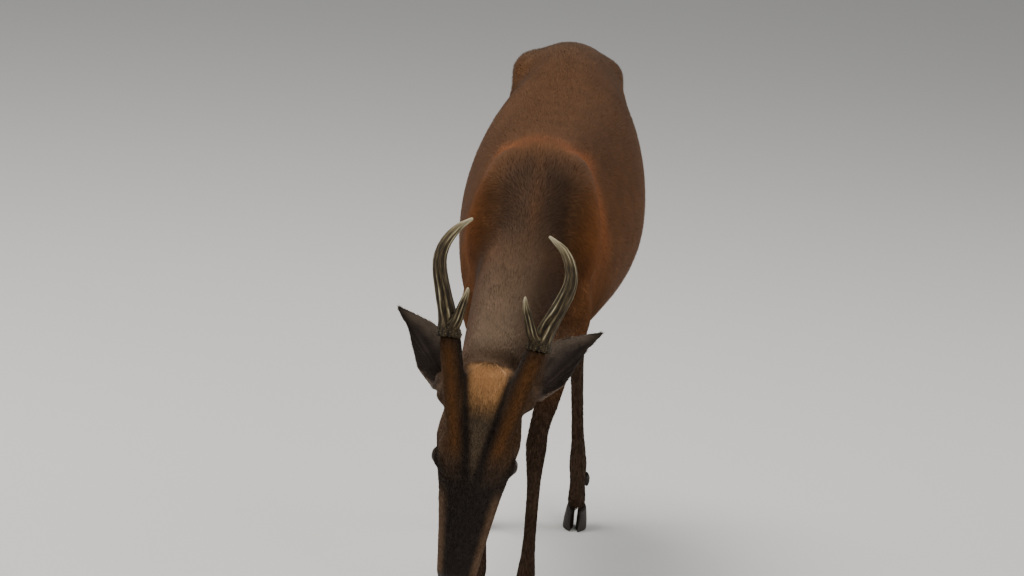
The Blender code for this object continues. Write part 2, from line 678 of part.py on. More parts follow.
def swollen(obj):
    """A copy grown by the width of a cut, which carves its neighbour face to face."""
    grown = copy_of(obj, "grown")
    swell = grown.modifiers.new("swell", "DISPLACE")
    swell.strength = CUT
    swell.mid_level = 0.0
    return evaluated(grown)


def tail(rump, mat):
    """A flat hanging tail, narrow at the dock and pointed at the tip."""
    obj = limb("tail", [
        (0.0, 0.500, 0.494, 0.013, 0.012),
        (0.0, 0.530, 0.483, 0.015, 0.012),
        (0.0, 0.552, 0.452, 0.018, 0.011),
        (0.0, 0.560, 0.408, 0.020, 0.010),
        (0.0, 0.561, 0.365, 0.016, 0.008),
        (0.0, 0.558, 0.330, 0.005, 0.004)], count=14, sides=12, domed=False)
    boolean(obj, swollen(rump), "DIFFERENCE")
    tidy_triangles(largest_part(obj))
    obj.data.materials.append(mat)
    return obj


def burr_plane(way):
    """Where antler meets pedicle: a plane square to the head's length."""
    return HEAD @ Vector((0, BURR_HEIGHT, 0)), HEAD.to_3x3() @ Vector((0, way, 0))


def antler_path(sign, stations):
    return [(sign * x, BURR_HEIGHT + h, z, r, r) for x, h, z, r in stations]


def antler(side, mat):
    """Beam with its burr, and the brow tine as a second piece at the fork."""
    sign = SIDES[side]
    rise, lean = ANTLER_RISE[side], TINE_LEAN[side]
    beam = limb("antler_beam_" + side, antler_path(sign, [
        (BURR_SPREAD, -0.004, 0.002, 0.0115),
        (BURR_SPREAD + 0.001, 0.003, 0.002, 0.0130),
        (BURR_SPREAD + 0.002, 0.009, 0.003, 0.0106),
        (BURR_SPREAD + 0.006, 0.20 * rise, 0.006, 0.0090),
        (BURR_SPREAD + 0.014, 0.38 * rise, 0.010, 0.0077),
        (BURR_SPREAD + 0.0210, 0.58 * rise, 0.011, 0.0067),
        (BURR_SPREAD + 0.0195, 0.74 * rise, 0.008, 0.0057),
        (BURR_SPREAD + 0.0100, 0.89 * rise, 0.003, 0.0042),
        (BURR_SPREAD - ANTLER_TIP_IN[side], rise, -0.003, 0.0014)]), count=20, sides=10, domed=False)
    tine = limb("antler_tine_" + side, antler_path(sign, [
        (BURR_SPREAD - 0.001, 0.006, 0.006, 0.0060),
        (BURR_SPREAD + 0.3 * lean - 0.006, 0.015, 0.013, 0.0058),
        (BURR_SPREAD + 0.6 * lean - 0.010, 0.028, 0.019, 0.0046),
        (BURR_SPREAD + 0.9 * lean - 0.014, 0.041, 0.021, 0.0030),
        (BURR_SPREAD + lean - 0.0155, 0.050, 0.020, 0.0012)]), count=9, sides=8, domed=False)
    boolean(tine, swollen(beam), "DIFFERENCE")
    largest_part(tine)
    for obj in (beam, tine):
        place_on_head(obj)
        half(obj, *burr_plane(-1.0))
        tidy_triangles(obj)
        obj.data.materials.append(mat)
    return beam, tine


def foot_places(kind, side):
    """Where one leg's knee or hock, fetlock and foot stand."""
    if kind == "fore":
        y = FORE_KNEE_Y + FORE_STEP[side]
        return {"joint": y, "fetlock": y + 0.006, "foot": (SIDES[side] * FORE_STANCE, y - 0.018)}
    y = HOCK_Y + HIND_STEP[side]
    return {"joint": y, "fetlock": y - 0.020, "foot": (SIDES[side] * HIND_STANCE, y - 0.045)}


def coronet_plane(x, y):
    """Where the hoof wall starts: a plane that falls towards the heel."""
    return Vector((x, y, CORONET)), Vector((0.0, -0.30, 1.0)).normalized()


def claw(name, x, y, spread, mat):
    """One hoof claw: a teardrop sole, a sloping wall and a top face cut along the coronet."""
    rings = []
    for t in (0.0, 0.12, 0.5, 1.0):
        grow = 1.0 - 0.16 * t
        z = t * (CORONET + 0.010)
        ring = []
        for j in range(14):
            a = math.tau * j / 14
            nose = 0.5 * (1.0 + math.cos(a))
            along = -0.5 * CLAW_LENGTH * math.cos(a)
            side = 0.5 * CLAW_WIDTH * math.sin(a) * (1.0 - 0.55 * nose ** 3)
            ring.append((x + side * grow + spread * nose * (1 - t),
                         y + along * grow * (1.0 - 0.22 * t) + 0.0105 * t - 0.004, z))
        rings.append(ring)
    obj = skin_rings(name, rings)
    return obj


def feet(ankle, kind, side, hoof_mat):
    """Claws and dewclaws under one foot, and the foot cut back to the coronet."""
    sign = SIDES[side]
    x, y = foot_places(kind, side)["foot"]
    point, up = coronet_plane(x, y)
    half(ankle, point, -up)
    out = []
    for place, way in (("inner", -sign), ("outer", sign)):
        mid = x + way * (CLAW_WIDTH / 2 + CUT)
        hoof = claw("hoof_{}_{}_{}".format(kind, side, place), mid, y, way * 0.0012, hoof_mat)
        half(hoof, point, up)
        tidy_triangles(hoof)
        hoof.data.materials.append(hoof_mat)
        out.append(hoof)
        spur = limb("dewclaw_{}_{}_{}".format(kind, side, place), [
            (x + way * 0.0050, y + 0.026, FETLOCK - 0.012, 0.0048, 0.0048),
            (x + way * 0.0072, y + 0.031, FETLOCK - 0.019, 0.0044, 0.0042),
            (x + way * 0.0080, y + 0.033, FETLOCK - 0.027, 0.0018, 0.0018)], count=4, sides=6, domed=False)
        boolean(spur, swollen(ankle), "DIFFERENCE")
        largest_part(spur)
        tidy_triangles(spur)
        spur.data.materials.append(hoof_mat)
        out.append(spur)
    return out


def centre_on_footprint(objects):
    low = Vector((1e9,) * 3)
    high = -low
    for obj in objects:
        for v in obj.data.vertices:
            low = Vector(map(min, low, v.co))
            high = Vector(map(max, high, v.co))
    shift = Matrix.Translation((-(low.x + high.x) / 2, -(low.y + high.y) / 2, -low.z))
    for obj in objects:
        obj.data.transform(shift)


def build():
    clear_scene()
    coat = finish("coat", (0.100, 0.045, 0.022), 0.75)
    dark_coat = finish("dark_coat", (0.040, 0.024, 0.017), 0.75)
    pale_coat = finish("pale_coat", (0.240, 0.190, 0.150), 0.80)
    grey_ear = finish("ear_skin", (0.050, 0.042, 0.040), 0.70)
    antler_bone = finish("antler", (0.230, 0.180, 0.110), 0.45)
    horn = finish("hoof_horn", (0.018, 0.015, 0.013), 0.35)
    eye_gloss = finish("eye", (0.010, 0.006, 0.004), 0.05)

    flesh = fused_flesh()
    head = copy_of(flesh, "head")
    neck_cut = (Vector((-0.020, -0.174, 0.324)), Vector((0.0, -0.80, -0.60)))
    half(head, neck_cut[0] + Vector((0, 0.03, 0.02)), -neck_cut[1], gap=0.0)
    reduced(head, 3100)
    half(head, neck_cut[0], -neck_cut[1])
    largest_part(head)
    half(head, *burr_plane(1.0))

    reduced(flesh, 6200)
    front, back = parted(flesh, Vector((0, 0.115, 0.4)), Vector((0, 1, 0.05)), "front", "back")
    front, forelegs = parted(front, Vector((0, 0, 0.266)), Vector((0, 0.05, -1)), "front", "forelegs")
    largest_part(half(front, *neck_cut))
    chest, neck = parted(front, Vector((0, -0.090, 0.405)), Vector((0, -0.95, -0.30)), "chest", "neck")
    belly, hips = parted(back, Vector((0, 0.325, 0.4)), Vector((0, 1, -0.22)), "belly", "hips")
    rump, hindlegs = parted(hips, Vector((0, 0.43, 0.340)), Vector((0, 0.45, -1)), "rump", "hindlegs")
    nodes = [head, neck, chest, belly, rump]
    for obj in nodes:
        tidy_triangles(obj)
    nodes.append(tail(rump, pale_coat))
    for legs, kind, joint, slope in ((forelegs, "fore", KNEE, 0.0), (hindlegs, "hind", HOCK - 0.004, 0.35)):
        for side, leg in by_side(legs, kind + "leg_{}").items():
            stand = foot_places(kind, side)
            upper, lower = parted(leg, Vector((0, stand["joint"], joint)), Vector((0, slope, -1)),
                                  "{}leg_upper_{}".format(kind, side), "{}leg_lower_{}".format(kind, side))
            lower, ankle = parted(lower, Vector((0, stand["fetlock"], FETLOCK + 0.012)), Vector((0, 0.1, -1)),
                                  lower.name, "{}foot_{}".format(kind, side))
            hooves = feet(ankle, kind, side, horn)
            for obj in (upper, lower, ankle):
                tidy_triangles(largest_part(obj))
                obj.data.materials.append(dark_coat if obj is not upper else coat)
            nodes += [upper, lower, ankle] + hooves
    cut_head_details(head)
    for side in SIDES:
        nodes.append(eye(side, eye_gloss))
        nodes.append(ear(side, head, neck, grey_ear))
        nodes += antler(side, antler_bone)
    for obj in (head, neck, chest, belly, rump):
        obj.data.materials.append(coat)
    for obj in nodes:
        for poly in obj.data.polygons:
            poly.use_smooth = True
        obj.data.set_sharp_from_angle(angle=math.radians(40))
    centre_on_footprint(nodes)
    return nodes


build()
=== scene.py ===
"""Muntjac stag, life size, head lowered to drink: the looks of the still model."""
import math

import bpy
import numpy as np
from mathutils import Matrix, Vector
from mathutils.bvhtree import BVHTree
from mathutils.kdtree import KDTree


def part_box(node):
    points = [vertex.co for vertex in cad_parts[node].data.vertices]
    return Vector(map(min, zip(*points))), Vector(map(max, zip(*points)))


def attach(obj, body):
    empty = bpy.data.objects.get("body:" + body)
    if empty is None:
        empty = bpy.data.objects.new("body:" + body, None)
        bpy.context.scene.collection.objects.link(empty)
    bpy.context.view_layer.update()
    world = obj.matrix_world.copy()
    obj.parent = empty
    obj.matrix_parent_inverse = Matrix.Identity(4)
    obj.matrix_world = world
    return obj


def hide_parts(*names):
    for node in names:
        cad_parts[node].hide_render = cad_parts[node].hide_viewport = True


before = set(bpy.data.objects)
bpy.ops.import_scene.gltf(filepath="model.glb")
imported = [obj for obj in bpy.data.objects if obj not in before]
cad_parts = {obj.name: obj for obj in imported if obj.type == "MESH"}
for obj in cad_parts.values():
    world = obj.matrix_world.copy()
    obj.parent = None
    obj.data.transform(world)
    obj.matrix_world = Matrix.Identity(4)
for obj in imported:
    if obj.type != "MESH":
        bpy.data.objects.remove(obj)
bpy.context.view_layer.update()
bpy.ops.object.select_all(action="DESELECT")

# The studio: a pale floor, soft boxes all round, and a long lens that looks slightly down
# on the stag's face. The camera leans a few degrees and is aimed from the left forefoot.
FORE_STANCE = 0.026
FORE_FOOT_AHEAD = 0.038
CAMERA_SIDE = math.radians(2.8)
CAMERA_ABOVE = math.radians(12.5)
CAMERA_LEAN = math.radians(5.6)
CAMERA_AWAY = 5.0
LENS_MM = 170.9
AIM = Vector((-0.018, 0.0, 0.368))
LAMP_AIM = Vector((0.0, 0.15, 0.35))


def middle_of(*nodes):
    corners = [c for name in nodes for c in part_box(name)]
    low = Vector([min(c[i] for c in corners) for i in range(3)])
    high = Vector([max(c[i] for c in corners) for i in range(3)])
    return (low + high) / 2


left_forefoot = middle_of("hoof_fore_left_inner", "hoof_fore_left_outer")
withers = Vector((left_forefoot.x - FORE_STANCE, left_forefoot.y + FORE_FOOT_AHEAD, 0.0))


def add_camera():
    back = Vector((math.sin(CAMERA_SIDE) * math.cos(CAMERA_ABOVE),
                   -math.cos(CAMERA_SIDE) * math.cos(CAMERA_ABOVE), math.sin(CAMERA_ABOVE)))
    right = (-back).cross(Vector((0, 0, 1))).normalized()
    level = Matrix((right, right.cross(-back), back)).transposed()
    turn = level @ Matrix.Rotation(CAMERA_LEAN, 3, "Z")
    bpy.ops.object.camera_add(location=withers + AIM + back * CAMERA_AWAY, rotation=turn.to_euler())
    camera = bpy.context.object
    camera.name = "camera"
    camera.data.sensor_width = 36.0
    camera.data.lens = LENS_MM
    camera.data.clip_end = 60.0
    bpy.context.scene.camera = camera


def add_softbox(name, place, size, power, colour):
    bpy.ops.object.light_add(type="AREA", location=place)
    lamp = bpy.context.object
    lamp.name = name
    lamp.data.size = size
    lamp.data.energy = power
    lamp.data.color = colour
    lamp.rotation_euler = (withers + LAMP_AIM - Vector(place)).to_track_quat("-Z", "Y").to_euler()


add_camera()
add_softbox("overhead", (-0.7, 0.4, 2.6), 1.3, 74.0, (1.0, 0.965, 0.91))
add_softbox("front", (1.5, -2.6, 1.5), 1.6, 44.0, (1.0, 0.98, 0.95))
add_softbox("left_fill", (2.4, 1.2, 1.3), 1.8, 26.0, (0.95, 0.97, 1.0))
add_softbox("right_fill", (-2.4, -0.6, 1.2), 1.8, 24.0, (0.95, 0.97, 1.0))

world = bpy.data.worlds.new("studio")
bpy.context.scene.world = world
world.use_nodes = True
world.node_tree.nodes["Background"].inputs["Color"].default_value = (0.86, 0.87, 0.88, 1.0)
world.node_tree.nodes["Background"].inputs["Strength"].default_value = 0.40

bpy.ops.mesh.primitive_plane_add(size=16.0, location=(0.0, 3.0, -0.0004))
floor = bpy.context.object
floor.name = "floor"
bpy.ops.object.transform_apply(location=True, rotation=True, scale=True)
floor_paint = bpy.data.materials.new("floor_paint")
floor_paint.use_nodes = True
floor_paint.node_tree.nodes["Principled BSDF"].inputs["Base Color"].default_value = (0.62, 0.61, 0.59, 1.0)
floor_paint.node_tree.nodes["Principled BSDF"].inputs["Roughness"].default_value = 0.85
floor.data.materials.append(floor_paint)

# The skin: one closed hide over the whole body, laid over the solids' own forms and sunk
# under their outline by the depth of the coat. The head's own axes are level, nose to -Y
# and the crown at the origin; the eyes in the frame say where the head is.
FACE_FROM_VERTICAL = math.radians(17.0)
HEAD_TILT = math.radians(3.2)
HEAD_LENGTH = 0.205
EYE_RADIUS = 0.0120
EYE = Vector((0.0305, -0.0765, -0.0240))
SIDES = {"left": 1.0, "right": -1.0}
LIMBS = ("fore", "hind")
FLESH = (["head", "neck", "chest", "belly", "rump", "tail", "ear_left", "ear_right"]
         + ["{}leg_{}_{}".format(limb, part, side) for limb in LIMBS
            for part in ("upper", "lower") for side in SIDES]
         + ["{}foot_{}".format(limb, side) for limb in LIMBS for side in SIDES])
MERGE_GAP = 0.00002
SKIN_VOXEL = 0.00125
OVERLAP = 0.0006
SMOOTH_PASSES, FINE_PASSES = 90, 3
SKIN_TRIANGLES = 190000
LIE_BLOCK = 20000
LIE_NEAR, LIE_POWER = 0.00012, 2.2

head_turn = (Matrix.Rotation(HEAD_TILT, 3, "Y")
             @ Matrix.Rotation(math.pi / 2 - FACE_FROM_VERTICAL, 3, "X"))
crown = middle_of("eye_left", "eye_right") - head_turn @ Vector((0.0, EYE.y, EYE.z))
head_axes = np.array(head_turn)


def on_head(x, y, z):
    return crown + head_turn @ Vector((x, y, z))


def head_coords(points):
    return (points - np.array(crown)) @ head_axes


def from_head(points):
    return points @ head_axes.T + np.array(crown)


def body_coords(points):
    return points - np.array(withers)


def eye_at(sign):
    """The middle of one eyeball, in the head's axes."""
    return np.array((sign * EYE.x, EYE.y, EYE.z))


def soft_step(value, low, high):
    t = np.clip((value - low) / (high - low), 0.0, 1.0)
    return t * t * (3.0 - 2.0 * t)


def lie_row(place, turn, spot, run, length, width, depth):
    """One place over the stag, and its twin on the other side: which way the hair runs,
    how long and wide a tuft is, and how deep the coat stands there."""
    x, y, z = spot
    return [(place(s * x, y, z), turn @ Vector((s * run[0], run[1], run[2])), length, width, depth)
            for s in ((1, -1) if x else (1,))]


def on_body(x, y, z):
    return withers + Vector((x, y, z))


def head_lie(*row):
    return lie_row(on_head, head_turn, *row)


def body_lie(*row):
    return lie_row(on_body, Matrix.Identity(3), *row)


LIE = (
    head_lie((0.0, -0.200, -0.030), (0, 1, 0.3), 0.0022, 0.00045, 0.0005)
    + head_lie((0.018, -0.190, -0.045), (0.1, 1, 0), 0.0028, 0.00045, 0.0005)
    + head_lie((0.022, -0.150, -0.040), (0.1, 1, 0), 0.0036, 0.00050, 0.0005)
    + head_lie((0.0, -0.140, -0.016), (0, 1, 0), 0.0036, 0.00050, 0.0005)
    + head_lie((0.0, -0.140, -0.070), (0, 1, -0.2), 0.0045, 0.00055, 0.0007)
    + head_lie((0.014, -0.080, 0.000), (0.05, 1, 0), 0.0040, 0.00050, 0.0005)
    + head_lie((0.040, -0.060, -0.034), (0, 1, -0.35), 0.0032, 0.00050, 0.0010)
    + head_lie((0.038, -0.094, -0.030), (0.2, 1, 0.1), 0.0030, 0.00050, 0.0009)
    + head_lie((0.040, -0.070, -0.050), (0, 1, -0.4), 0.0045, 0.00055, 0.0008)
    + head_lie((0.030, -0.030, -0.075), (0, 1, -0.3), 0.0060, 0.00060, 0.0008)
    + head_lie((0.0, -0.060, -0.100), (0, 1, -0.2), 0.0070, 0.00060, 0.0010)
    + head_lie((0.0, -0.010, 0.004), (0, 1, 0.1), 0.0065, 0.00060, 0.0008)
    + head_lie((0.028, -0.020, 0.004), (0.25, 1, 0), 0.0045, 0.00055, 0.0006)
    + head_lie((0.042, 0.035, 0.002), (0.15, 1, 0), 0.0048, 0.00055, 0.0006)
    + head_lie((0.045, -0.012, -0.056), (0.6, 0.8, 0), 0.0050, 0.00055, 0.0004)
    + head_lie((0.075, 0.030, -0.060), (0.65, 0.75, 0), 0.0042, 0.00050, 0.0001)
    + head_lie((0.104, 0.068, -0.066), (0.65, 0.75, 0), 0.0036, 0.00045, 0.0)
    + body_lie((0.0, -0.140, 0.415), (0.02, 0.60, 0.55), 0.0085, 0.00075, 0.0009)
    + body_lie((0.045, -0.125, 0.360), (0, 0.75, 0.35), 0.0085, 0.00075, 0.0009)
    + body_lie((0.0, -0.120, 0.300), (0, 0.65, 0.30), 0.0090, 0.00080, 0.0011)
    + body_lie((0.0, 0.000, 0.530), (0, 1, 0.1), 0.0110, 0.00085, 0.0024)
    + body_lie((0.0, 0.200, 0.545), (0, 1, 0), 0.0120, 0.00090, 0.0026)
    + body_lie((0.0, 0.400, 0.562), (0, 1, -0.1), 0.0120, 0.00090, 0.0026)
    + body_lie((0.0, 0.510, 0.500), (0, 0.5, -0.8), 0.0125, 0.00090, 0.0026)
    + body_lie((0.065, -0.020, 0.430), (0, 0.55, -0.80), 0.0105, 0.00085, 0.0022)
    + body_lie((0.050, 0.010, 0.330), (0, 0.40, -0.90), 0.0095, 0.00080, 0.0020)
    + body_lie((0.0, -0.085, 0.380), (0, 0.10, -1), 0.0110, 0.00080, 0.0022)
    + body_lie((0.095, 0.130, 0.430), (0, 0.90, -0.40), 0.0120, 0.00090, 0.0025)
    + body_lie((0.095, 0.270, 0.400), (0, 0.90, -0.35), 0.0120, 0.00090, 0.0025)
    + body_lie((0.050, 0.200, 0.290), (0, 1, -0.1), 0.0110, 0.00085, 0.0024)
    + body_lie((0.0, 0.100, 0.280), (0, 1, 0), 0.0105, 0.00085, 0.0022)
    + body_lie((0.065, 0.400, 0.460), (0, 0.65, -0.75), 0.0120, 0.00090, 0.0025)
    + body_lie((0.065, 0.400, 0.370), (0, 0.40, -0.90), 0.0105, 0.00085, 0.0022)
    + body_lie((0.035, 0.520, 0.430), (0, 0.05, -1), 0.0120, 0.00085, 0.0024)
    + body_lie((0.032, -0.010, 0.260), (0, 0.15, -1), 0.0070, 0.00070, 0.0010)
    + body_lie((0.026, -0.015, 0.140), (0, 0, -1), 0.0050, 0.00060, 0.0006)
    + body_lie((0.026, -0.026, 0.050), (0, -0.3, -1), 0.0048, 0.00060, 0.0006)
    + body_lie((0.026, -0.034, 0.024), (0, -0.35, -1), 0.0085, 0.00070, 0.0013)
    + body_lie((0.045, 0.400, 0.310), (0, 0.45, -0.90), 0.0080, 0.00075, 0.0014)
    + body_lie((0.040, 0.450, 0.180), (0, -0.05, -1), 0.0052, 0.00060, 0.0007)
    + body_lie((0.055, 0.440, 0.050), (0, -0.4, -1), 0.0048, 0.00060, 0.0006)
    + body_lie((0.056, 0.425, 0.024), (0, -0.35, -1), 0.0085, 0.00070, 0.0013)
    + body_lie((0.0, 0.545, 0.460), (0, 0.2, -1), 0.0240, 0.00130, 0.0045)
    + body_lie((0.0, 0.560, 0.360), (0, 0.0, -1), 0.0300, 0.00130, 0.0050))
lie_places = np.array([row[0] for row in LIE])
lie_runs = np.array([Vector(row[1]).normalized() for row in LIE])
lie_sizes = np.array([row[2:] for row in LIE])


def coat_lie(points, normals=None):
    """Blend of the rows near each point: hair direction, and tuft length, width and depth."""
    runs = np.zeros((len(points), 3))
    sizes = np.zeros((len(points), 3))
    for start in range(0, len(points), LIE_BLOCK):
        block = slice(start, start + LIE_BLOCK)
        gap = ((points[block, None, :] - lie_places[None]) ** 2).sum(axis=2)
        weight = 1.0 / (gap + LIE_NEAR) ** LIE_POWER
        weight /= weight.sum(axis=1, keepdims=True)
        runs[block] = weight @ lie_runs
        sizes[block] = weight @ lie_sizes
    if normals is not None:
        runs -= normals * (runs * normals).sum(axis=1, keepdims=True)
    runs /= np.maximum(np.linalg.norm(runs, axis=1, keepdims=True), 1e-9)
    return runs, sizes


def mesh_points(mesh):
    out = np.empty(len(mesh.vertices) * 3)
    mesh.vertices.foreach_get("co", out)
    return out.reshape(-1, 3)


def mesh_normals(mesh):
    out = np.empty(len(mesh.vertices) * 3)
    mesh.vertex_normals.foreach_get("vector", out)
    return out.reshape(-1, 3)


def set_points(mesh, points):
    mesh.vertices.foreach_set("co", np.ascontiguousarray(points, dtype=np.float32).ravel())
    mesh.update()


def relax(mesh, passes, weight):
    """Move each point towards the mean of its neighbours, by its own weight."""
    points = mesh_points(mesh)
    edges = np.empty(len(mesh.edges) * 2, dtype=np.int64)
    mesh.edges.foreach_get("vertices", edges)
    edges = edges.reshape(-1, 2)
    count = len(points)
    share = (weight / np.maximum(np.bincount(edges.ravel(), minlength=count), 1))[:, None]
    for _ in range(passes):
        total = np.stack([np.bincount(edges[:, 0], points[edges[:, 1], k], count)
                          + np.bincount(edges[:, 1], points[edges[:, 0], k], count)
                          for k in range(3)], axis=1)
        points = points * (1.0 - weight[:, None]) + total * share
    set_points(mesh, points)


def apply_modifier(obj, kind, **values):
    mod = obj.modifiers.new(kind.lower(), kind)
    for name, value in values.items():
        setattr(mod, name, value)
    bpy.context.view_layer.objects.active = obj
    bpy.ops.object.modifier_apply(modifier=mod.name)


def joined_copy(name, nodes):
    """One mesh from copies of CAD nodes, with their loose triangles merged."""
    bpy.ops.object.select_all(action="DESELECT")
    for node_name in nodes:
        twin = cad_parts[node_name].copy()
        twin.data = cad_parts[node_name].data.copy()
        twin.parent = None
        bpy.context.scene.collection.objects.link(twin)
        twin.select_set(True)
        bpy.context.view_layer.objects.active = twin
    if len(nodes) > 1:
        bpy.ops.object.join()
    made = bpy.context.view_layer.objects.active
    made.name = name
    made.data.materials.clear()
    made.modifiers.clear()
    bpy.ops.object.mode_set(mode="EDIT")
    bpy.ops.mesh.select_all(action="SELECT")
    bpy.ops.mesh.remove_doubles(threshold=MERGE_GAP)
    bpy.ops.object.mode_set(mode="OBJECT")
    return made


def ear_share(h):
    """1 on the ears, 0 elsewhere, from places in the head's axes."""
    share = soft_step(np.abs(h[:, 0]), 0.047, 0.056) * soft_step(h[:, 1], -0.040, -0.025)
    return share * soft_step(h[:, 2], -0.110, -0.100) * soft_step(-h[:, 2], 0.018, 0.028)


def trunk_share(points):
    """1 on the trunk and thick neck, down to 0 on the head, the ears and the lower legs."""
    b, h = body_coords(points), head_coords(points)
    share = soft_step(b[:, 2], 0.26, 0.34) * soft_step(h[:, 1] * 0.8 - h[:, 2], 0.075, 0.12)
    return share * (1.0 - ear_share(h))


skin = joined_copy("skin", FLESH)
apply_modifier(skin, "DISPLACE", strength=OVERLAP, mid_level=0.0)
apply_modifier(skin, "REMESH", mode="VOXEL", voxel_size=SKIN_VOXEL)
points = mesh_points(skin.data)
relax(skin.data, SMOOTH_PASSES, 0.08 + 0.42 * trunk_share(points) - 0.06 * ear_share(head_coords(points)))
relax(skin.data, FINE_PASSES, np.full(len(points), 0.5) * (1.0 - 0.7 * ear_share(head_coords(points))))
points, normals = mesh_points(skin.data), mesh_normals(skin.data)
set_points(skin.data, points - normals * (OVERLAP * 0.8 + coat_lie(points)[1][:, 2:3]))

# The face's folds, pressed into the skin: eyelids that fit the eyeballs with a crease round
# them, the scent glands before the eyes and on the forehead, nostrils, lips and nose pad.
LID_SPAN, LID_RISE = 0.0112, 0.0076
LID_DROP = 0.0006
LID_THICK, LID_SINK = 0.0013, 0.0022
LID_CREASE = 0.0009
MOUTH_GROOVE, LIP_SWELL = 0.0022, 0.0005
LIP_NOTCH = ((0.0, -0.2070, -0.0385), (0.0, -0.2050, -0.0490))
EYE_GLAND = ((0.0365, -0.0920, -0.0300), (0.0338, -0.1025, -0.0315), (0.0305, -0.1130, -0.0330))
NOSTRIL = ((0.0085, -0.2035, -0.0380), (0.0128, -0.1995, -0.0352), (0.0168, -0.1955, -0.0328))
FRONTAL_REACH = (-0.090, -0.075, -0.060, -0.045)
MOUTH_ROWS = ((-0.205, -0.190, -0.136), (-0.0515, -0.0515, -0.0545))
FRONTAL_ROWS = ((-0.102, -0.084, -0.060, -0.042, -0.009, 0.004, 0.0385),
                (0.0035, 0.0070, 0.0102, 0.0140, 0.0196, 0.0222, 0.0320))


def press(points, normals, route, width, depth):
    """Push the skin in along its normals near a route through places on the head."""
    route = [np.array(on_head(*spot)) for spot in route]
    best = np.full(len(points), 1e9)
    for a, b in zip(route[:-1], route[1:]):
        along = b - a
        t = np.clip(((points - a) @ along) / (along @ along), 0.0, 1.0)
        best = np.minimum(best, np.linalg.norm(points - a - t[:, None] * along, axis=1))
    return points - normals * (depth * np.exp(-(best / width) ** 2))[:, None]


def press_mouth(points, normals):
    """The groove between the lips, with both lips swelling a little beside it."""
    h = head_coords(points)
    gap = h[:, 2] - np.interp(h[:, 1], *MOUTH_ROWS)
    reach = soft_step(-h[:, 1], 0.130, 0.142) * soft_step(h[:, 2], -0.085, -0.078)
    groove = np.exp(-(gap / 0.0011) ** 2) * reach
    swell = np.exp(-((np.abs(gap) - 0.0036) / 0.0018) ** 2) * reach
    return points - normals * (MOUTH_GROOVE * groove - LIP_SWELL * swell)[:, None]


def on_eyeball(rel, dist):
    """Where places round an eye fall on its ball: along and across the lids' opening."""
    return rel[:, 1] / dist * EYE_RADIUS, rel[:, 2] / dist * EYE_RADIUS + LID_DROP


def fit_lids(points):
    """Lids lie on the eyeball, sink away inside the opening, and have a crease round them."""
    h = head_coords(points)
    for sign in SIDES.values():
        eye = eye_at(sign)
        rel = h - eye
        dist = np.linalg.norm(rel, axis=1)
        near = (dist < EYE_RADIUS + 0.010) & (rel[:, 0] * sign > -0.006)
        far = np.maximum(dist[near], 1e-9)
        span, rise = on_eyeball(rel[near], far)
        inside = (span / LID_SPAN) ** 2 + np.abs(rise / LID_RISE) ** 1.75
        outward = rel[near, 0] * sign > 0
        crease = LID_CREASE * np.exp(-((inside - 2.1) / 0.45) ** 2) * (far < EYE_RADIUS + 0.006)
        wanted = np.where((inside < 1.0) & outward, EYE_RADIUS - LID_SINK,
                          np.maximum(far - crease, EYE_RADIUS + LID_THICK))
        rel[near] *= (wanted / far)[:, None]
        h[near] = rel[near] + eye
    return from_head(h)


points, normals = mesh_points(skin.data), mesh_normals(skin.data)
points = press_mouth(points, normals)
points = press(points, normals, LIP_NOTCH, 0.0009, 0.0014)
frontal_gland = [(np.interp(y, *FRONTAL_ROWS), y, 0.001 + 0.03 * (y + 0.060)) for y in FRONTAL_REACH]
for sign in SIDES.values():
    for route, width, depth in ((EYE_GLAND, 0.0022, 0.0028), (NOSTRIL, 0.0018, 0.0026),
                                (frontal_gland, 0.0024, 0.0016)):
        points = press(points, normals, [(sign * x, y, z) for x, y, z in route], width, depth)
set_points(skin.data, fit_lids(points))

body_only = skin.vertex_groups.new(name="body_only")
h = head_coords(mesh_points(skin.data))
fine = np.maximum(1.0 - soft_step(h[:, 1] * 0.8 - h[:, 2], 0.100, 0.115), ear_share(h))
body_only.add(np.nonzero(fine < 0.5)[0].tolist(), 1.0, "REPLACE")
skin_faces = 2 * len(skin.data.polygons)
apply_modifier(skin, "DECIMATE", vertex_group="body_only", ratio=SKIN_TRIANGLES / skin_faces)
skin.vertex_groups.clear()
bpy.ops.object.select_all(action="DESELECT")
skin.select_set(True)
bpy.context.view_layer.objects.active = skin
bpy.ops.object.shade_smooth()

# The markings, shared by hide and hair, with painted light and shade laid in among them:
# chestnut flanks and a duller, greyer back that is partly painted cool skylight, a painted
# sheen on the croup, slate-brown withers with painted shade in the hollows beside the neck,
# between rusty shoulders whose rust is partly painted sunlight, a grey-brown nape that is
# partly a painted highlight, painted shade on the neck's sides and towards the withers, an
# ochre crown between the dark lines of the forehead, black-brown muzzle and legs, pale chin,
# belly, inner thighs and tail underside, and pale ear rims that are partly a painted highlight.
CHESTNUT = (0.158, 0.063, 0.019)
RUST_AND_PAINTED_SUN = (0.330, 0.110, 0.034)
DULL_BACK_AND_SKYLIGHT = (0.116, 0.056, 0.026)
PAINTED_CROUP_SHEEN = (0.120, 0.072, 0.042)
SLATE_AND_PAINTED_SHADE = (0.040, 0.023, 0.014)
PAINTED_NAPE_SHADE = (0.086, 0.056, 0.036)
NAPE_GREY_AND_HIGHLIGHT = (0.175, 0.120, 0.078)
CROWN_OCHRE = (0.385, 0.200, 0.080)
PEDICLE_OCHRE = (0.048, 0.022, 0.008)
PEDICLE_STREAK = (0.100, 0.040, 0.011)
FOREHEAD_GREY = (0.074, 0.050, 0.030)
FRONTAL_DARK = (0.012, 0.008, 0.006)
CHEEK_BROWN = (0.062, 0.034, 0.018)
CHEEK_BAND = (0.112, 0.064, 0.036)
